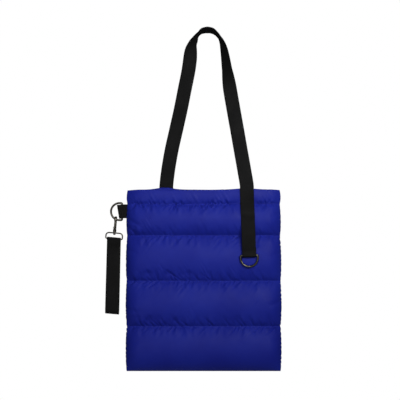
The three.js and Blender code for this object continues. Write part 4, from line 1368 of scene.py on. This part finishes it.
def rib_group():
    """The cross ribs of webbing: height, and how deep a point lies between two ribs"""
    tree, wiring, given = tree_with(
        "webbing_ribs", "ShaderNodeTree",
        [("Vector", "NodeSocketVector", None), ("Pitch", "NodeSocketFloat", 0.0016),
         ("Half Width", "NodeSocketFloat", 0.015)],
        [("Height", "NodeSocketFloat"), ("Valley", "NodeSocketFloat"), ("Selvedge", "NodeSocketFloat")])
    place = wiring.add("ShaderNodeSeparateXYZ", {0: given["Vector"]}).outputs
    turns = wiring.math("DIVIDE", place[1], given["Pitch"])
    waver = wiring.add("ShaderNodeTexNoise", {"Vector": given["Vector"], "Scale": 260.0, "Detail": 2.0}).outputs[0]
    turns = wiring.math("MULTIPLY_ADD", waver, 0.22, turns)
    rib = wiring.math("ABSOLUTE", wiring.math("SINE", wiring.math("MULTIPLY", turns, math.pi)))
    rounded = wiring.math("POWER", rib, 0.6)
    strand = wiring.math("ABSOLUTE", wiring.math("SINE", wiring.math("MULTIPLY", place[0], math.pi / 0.0011)))
    height = wiring.math("MULTIPLY_ADD", strand, 0.3, rounded)
    # Valley later darkens the webbing's colour as painted shade between the ribs
    valley = wiring.math("SUBTRACT", 1.0, wiring.math("MULTIPLY", rounded, wiring.math("POWER", strand, 0.35)))
    edge = wiring.math("SUBTRACT", wiring.math("ABSOLUTE", place[0]),
                       wiring.math("SUBTRACT", given["Half Width"], 0.0014))
    selvedge = wiring.add("ShaderNodeMapRange", {"Value": edge, "From Min": 0.0, "From Max": 0.0007}).outputs[0]
    close_tree(wiring, Height=height, Valley=valley, Selvedge=selvedge)
    return tree


def variation_group():
    """Soft uneven patches between a low and a high value"""
    tree, wiring, given = tree_with(
        "soft_patches", "ShaderNodeTree",
        [("Vector", "NodeSocketVector", None), ("Scale", "NodeSocketFloat", 12.0),
         ("Low", "NodeSocketFloat", 0.0), ("High", "NodeSocketFloat", 1.0)],
        [("Value", "NodeSocketFloat")])
    noise = wiring.add("ShaderNodeTexNoise", {"Vector": given["Vector"], "Scale": given["Scale"],
                                              "Detail": 4.0, "Roughness": 0.55}).outputs[0]
    value = wiring.add("ShaderNodeMapRange", {"Value": noise, "From Min": 0.3, "From Max": 0.7,
                                              "To Min": given["Low"], "To Max": given["High"]}).outputs[0]
    close_tree(wiring, Value=value)
    return tree


def crinkle_group():
    """Fine crinkles such as thin coated cloth takes on"""
    tree, wiring, given = tree_with(
        "fine_crinkle", "ShaderNodeTree",
        [("Vector", "NodeSocketVector", None), ("Scale", "NodeSocketFloat", 60.0)],
        [("Height", "NodeSocketFloat")])
    warp = wiring.add("ShaderNodeTexNoise", {"Vector": given["Vector"], "Scale": given["Scale"], "Detail": 3.0,
                                             "Roughness": 0.5, "Distortion": 0.8}).outputs[0]
    ridge = wiring.math("ABSOLUTE", wiring.math("SUBTRACT", warp, 0.5))
    fine = wiring.add("ShaderNodeTexNoise", {"Vector": given["Vector"], "Detail": 4.0,
                                             "Scale": wiring.math("MULTIPLY", given["Scale"], 4.0)}).outputs[0]
    height = wiring.math("MULTIPLY_ADD", fine, 0.12, wiring.math("POWER", ridge, 0.7))
    close_tree(wiring, Height=height)
    return tree


def material_with(name):
    """A new node material: its wiring, its shader and its texture coordinates"""
    material = bpy.data.materials.new(name)
    material.use_nodes = True
    wiring = Wiring(material.node_tree)
    shader = material.node_tree.nodes["Principled BSDF"]
    return material, wiring, shader, wiring.add("ShaderNodeTexCoord").outputs


def group(wiring, name, make, **inputs):
    """One of the shared shader groups, placed in a material with its own values"""
    tree = shared(name, make)
    return wiring.add("ShaderNodeGroup", {key.replace("_", " "): value for key, value in inputs.items()},
                      node_tree=tree).outputs


def mixed(wiring, share, first, second):
    """A colour between two colours"""
    node = wiring.add("ShaderNodeMix", data_type="RGBA")
    for socket, value in ((node.inputs[0], share), (node.inputs[6], first), (node.inputs[7], second)):
        if isinstance(value, bpy.types.NodeSocket):
            wiring.tree.links.new(value, socket)
        else:
            socket.default_value = value if isinstance(value, float) else (*value, 1.0)
    return node.outputs[2]


def nylon_material(context):
    """Satin nylon taffeta in royal blue"""
    finish = context.scene.shopper_finish
    material, wiring, shader, place = material_with("royal_blue_nylon")
    patches = group(wiring, "soft_patches", variation_group, Vector=place["Object"], Scale=14.0)["Value"]
    crinkle = group(wiring, "fine_crinkle", crinkle_group, Vector=place["Object"], Scale=55.0)["Height"]
    weave = group(wiring, "plain_weave", weave_group, Vector=place["UV"], Across=2600.0, Along=2200.0)["Height"]
    rub = group(wiring, "soft_patches", variation_group, Vector=place["Object"], Scale=38.0, Low=0.50,
                High=0.62)["Value"]
    links = wiring.tree.links
    links.new(mixed(wiring, patches, finish.nylon_shade, finish.nylon), shader.inputs["Base Color"])
    links.new(rub, shader.inputs["Roughness"])
    coarse = wiring.add("ShaderNodeBump", {"Height": crinkle, "Strength": 0.14, "Distance": 0.0012})
    fine = wiring.add("ShaderNodeBump", {"Height": weave, "Strength": 0.10, "Distance": 0.00015,
                                         "Normal": coarse.outputs[0]})
    links.new(fine.outputs[0], shader.inputs["Normal"])
    shader.inputs["Sheen Weight"].default_value = 0.04
    shader.inputs["Sheen Roughness"].default_value = 0.4
    shader.inputs["Sheen Tint"].default_value = (0.2, 0.3, 1.0, 1.0)
    shader.inputs["Specular IOR Level"].default_value = 0.09
    return material


def webbing_material(context):
    """Black ribbed polyester webbing"""
    finish, webbing = context.scene.shopper_finish, context.scene.shopper_webbing
    material, wiring, shader, place = material_with("webbing_black")
    ribs = group(wiring, "webbing_ribs", rib_group, Vector=place["UV"], Half_Width=webbing.width / 2)
    patches = group(wiring, "soft_patches", variation_group, Vector=place["Object"], Scale=30.0, Low=0.62,
                    High=0.82)["Value"]
    # Painted shade: the colour darkens between the ribs, where they would shade each other, and also darkens along
    # the selvedge
    rib_shade_and_selvedge = wiring.math("MAXIMUM", wiring.math("MULTIPLY", ribs["Valley"], 0.8),
                       wiring.math("MULTIPLY", ribs["Selvedge"], 0.6))
    links = wiring.tree.links
    links.new(mixed(wiring, rib_shade_and_selvedge, finish.webbing, finish.webbing_dark_and_rib_shade), shader.inputs["Base Color"])
    links.new(patches, shader.inputs["Roughness"])
    bump_node = wiring.add("ShaderNodeBump", {"Height": ribs["Height"], "Strength": 0.6, "Distance": 0.0003})
    links.new(bump_node.outputs[0], shader.inputs["Normal"])
    shader.inputs["Specular IOR Level"].default_value = 0.08
    return material


def thread_material(context, name):
    """Twisted sewing thread, blue or black"""
    finish = context.scene.shopper_finish
    # The blue thread's dark base colour is partly painted shade for the seam line
    base, light = ((finish.thread, finish.nylon_shade) if name == "blue_thread"
                   else (finish.webbing_dark_and_rib_shade, finish.webbing))
    material, wiring, shader, place = material_with(name)
    twist = wiring.add("ShaderNodeTexWave", {"Vector": place["Object"], "Scale": 900.0}, bands_direction="DIAGONAL")
    links = wiring.tree.links
    links.new(mixed(wiring, twist.outputs[1], base, light), shader.inputs["Base Color"])
    bump_node = wiring.add("ShaderNodeBump", {"Height": twist.outputs[1], "Strength": 0.4, "Distance": 0.0001})
    links.new(bump_node.outputs[0], shader.inputs["Normal"])
    shader.inputs["Roughness"].default_value = 0.7
    shader.inputs["Specular IOR Level"].default_value = 0.08
    return material


def metal_material(context):
    """Gunmetal plating with a little wear"""
    finish = context.scene.shopper_finish
    material, wiring, shader, place = material_with("gunmetal")
    worn = group(wiring, "soft_patches", variation_group, Vector=place["Object"], Scale=160.0)["Value"]
    gloss = group(wiring, "soft_patches", variation_group, Vector=place["Object"], Scale=420.0, Low=0.24,
                  High=0.40)["Value"]
    links = wiring.tree.links
    links.new(mixed(wiring, worn, finish.metal, finish.metal_worn), shader.inputs["Base Color"])
    links.new(gloss, shader.inputs["Roughness"])
    grain = group(wiring, "fine_crinkle", crinkle_group, Vector=place["Object"], Scale=900.0)["Height"]
    bump_node = wiring.add("ShaderNodeBump", {"Height": grain, "Strength": 0.05, "Distance": 0.0001})
    links.new(bump_node.outputs[0], shader.inputs["Normal"])
    shader.inputs["Metallic"].default_value = 1.0
    return material


# Stage

def soft_light(name, power, size, place, target, spread=180):
    """A square area light that looks at a point, and how wide it spreads in degrees"""
    lamp = bpy.data.lights.new(name, "AREA")
    lamp.energy, lamp.size, lamp.spread = power, size, math.radians(spread)
    obj = scene_object(name, lamp)
    obj.location = place
    direction = Vector([float(b - a) for a, b in zip(place, target)])
    obj.rotation_euler = direction.to_track_quat("-Z", "Y").to_euler()
    return obj


def build_stage(context):
    """Camera, lights, background and floor"""
    stage, scene = context.scene.shopper_stage, context.scene
    middle = np.array(stage.view_middle)
    lens = bpy.data.cameras.new("photo_camera")
    lens.sensor_width = 36.0
    lens.lens = lens.sensor_width * stage.distance / stage.view_width
    lens.clip_end = 50.0
    camera = scene_object("photo_camera", lens)
    camera.location = middle - (0, stage.distance, 0)
    camera.rotation_euler = (math.pi / 2, 0, 0)
    scene.camera = camera
    scene.view_settings.view_transform = "Standard"

    soft_light("key_light", stage.key_power, 0.9, (0.55, -1.7, 0.42), (0.04, 0, -0.17), spread=46)
    soft_light("fill_light", stage.fill_power, 1.6, (-0.6, -2.4, -0.75), (0, 0, -0.34), spread=60)
    soft_light("back_light", stage.back_power, 1.6, (-0.6, 2.4, 1.4), middle)

    world = bpy.data.worlds.new("studio")
    scene.world = world
    world.use_nodes = True
    wiring = Wiring(world.node_tree)
    wiring.tree.nodes.clear()
    seen = wiring.add("ShaderNodeBackground", {"Color": (1, 1, 1, 1), "Strength": 1.0})
    sky = wiring.add("ShaderNodeSeparateXYZ", {0: wiring.add("ShaderNodeTexCoord").outputs["Generated"]})
    shade = wiring.add("ShaderNodeMapRange", {"Value": sky.outputs[2], "From Min": -0.7, "From Max": 0.9,
                                              "To Min": 0.25, "To Max": 1.35})
    light = wiring.add("ShaderNodeBackground", {"Color": (1, 1, 1, 1), "Strength": wiring.math(
        "MULTIPLY", shade.outputs[0], stage.ambient)})
    pick = wiring.add("ShaderNodeMixShader", {0: wiring.add("ShaderNodeLightPath").outputs["Is Camera Ray"],
                                              1: light.outputs[0], 2: seen.outputs[0]})
    output = wiring.add("ShaderNodeOutputWorld")
    wiring.tree.links.new(pick.outputs[0], output.inputs["Surface"])

    disc = bmesh.new()
    bmesh.ops.create_circle(disc, cap_ends=True, segments=96, radius=stage.floor_radius)
    mesh = bpy.data.meshes.new("floor")
    disc.to_mesh(mesh)
    disc.free()
    mesh.transform(Matrix.Translation((0, 0, stage.floor_drop)))
    material, floor_wiring, shader, place = material_with("pale_floor")
    patches = group(floor_wiring, "soft_patches", variation_group, Vector=place["Object"], Scale=3.0, Low=0.5,
                    High=0.6)["Value"]
    floor_wiring.tree.links.new(patches, shader.inputs["Roughness"])
    shader.inputs["Base Color"].default_value = (*context.scene.shopper_finish.floor, 1.0)
    mesh.materials.append(material)
    scene_object("floor", mesh)


# Operators, one for each piece or group of like pieces

class BuildOperator:
    """What every build operator shares"""
    bl_options = {"REGISTER", "UNDO"}

    def execute(self, context):
        type(self).build(context)
        return {"FINISHED"}


class SHOPPER_OT_stage(BuildOperator, bpy.types.Operator):
    """Set up the camera, lights and floor"""
    bl_idname, bl_label = "shopper.stage", "Stage"
    build = staticmethod(build_stage)


class SHOPPER_OT_panels(BuildOperator, bpy.types.Operator):
    """Build the two quilted panels"""
    bl_idname, bl_label = "shopper.panels", "Quilted panels"
    build = staticmethod(build_panels)


class SHOPPER_OT_quilting_thread(BuildOperator, bpy.types.Operator):
    """Sew the hem and the quilting seams"""
    bl_idname, bl_label = "shopper.quilting_thread", "Quilting stitches"
    build = staticmethod(build_quilting_thread)


class SHOPPER_OT_strap(BuildOperator, bpy.types.Operator):
    """Build the shoulder strap with its tail"""
    bl_idname, bl_label = "shopper.strap", "Shoulder strap"
    build = staticmethod(build_strap)


class SHOPPER_OT_tab(BuildOperator, bpy.types.Operator):
    """Build the tab in the side seam"""
    bl_idname, bl_label = "shopper.tab", "Side tab"
    build = staticmethod(build_tab)


class SHOPPER_OT_wrist_loop(BuildOperator, bpy.types.Operator):
    """Build the wristlet's webbing loop"""
    bl_idname, bl_label = "shopper.wrist_loop", "Wrist loop"
    build = staticmethod(build_wrist_loop)


class SHOPPER_OT_webbing_thread(BuildOperator, bpy.types.Operator):
    """Sew the strap and the wrist loop"""
    bl_idname, bl_label = "shopper.webbing_thread", "Webbing stitches"

    @staticmethod
    def build(context):
        build_strap_thread(context)
        build_wrist_thread(context)


class SHOPPER_OT_rings(BuildOperator, bpy.types.Operator):
    """Build the two D-rings"""
    bl_idname, bl_label = "shopper.rings", "D-rings"
    build = staticmethod(build_rings)


class SHOPPER_OT_hook(BuildOperator, bpy.types.Operator):
    """Build the snap hook and its gate"""
    bl_idname, bl_label = "shopper.hook", "Snap hook"
    build = staticmethod(build_hook)


class SHOPPER_OT_eye(BuildOperator, bpy.types.Operator):
    """Build the swivel eye"""
    bl_idname, bl_label = "shopper.eye", "Swivel eye"
    build = staticmethod(build_eye)


OPERATORS = (
    SHOPPER_OT_stage, SHOPPER_OT_panels, SHOPPER_OT_quilting_thread, SHOPPER_OT_strap, SHOPPER_OT_tab,
    SHOPPER_OT_wrist_loop, SHOPPER_OT_webbing_thread, SHOPPER_OT_rings, SHOPPER_OT_hook, SHOPPER_OT_eye,
)


class SHOPPER_PT_bag(bpy.types.Panel):
    """Lists the bag's pieces in the sidebar"""
    bl_idname, bl_label = "SHOPPER_PT_bag", "Shopper bag"
    bl_space_type, bl_region_type, bl_category = "VIEW_3D", "UI", "Shopper bag"

    def draw(self, context):
        for operator in OPERATORS:
            self.layout.operator(operator.bl_idname)


CLASSES = (*PROPERTY_GROUPS.values(), *OPERATORS, SHOPPER_PT_bag)


def register():
    for cls in CLASSES:
        bpy.utils.register_class(cls)
    for name, cls in PROPERTY_GROUPS.items():
        setattr(bpy.types.Scene, name, PointerProperty(type=cls))


def unregister():
    for name in PROPERTY_GROUPS:
        delattr(bpy.types.Scene, name)
    for cls in reversed(CLASSES):
        bpy.utils.unregister_class(cls)


def main():
    """Registers the add-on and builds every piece"""
    register()
    for operator in OPERATORS:
        group_name, call = operator.bl_idname.split(".")
        getattr(getattr(bpy.ops, group_name), call)()
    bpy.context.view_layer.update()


if __name__ == "__main__":
    main()
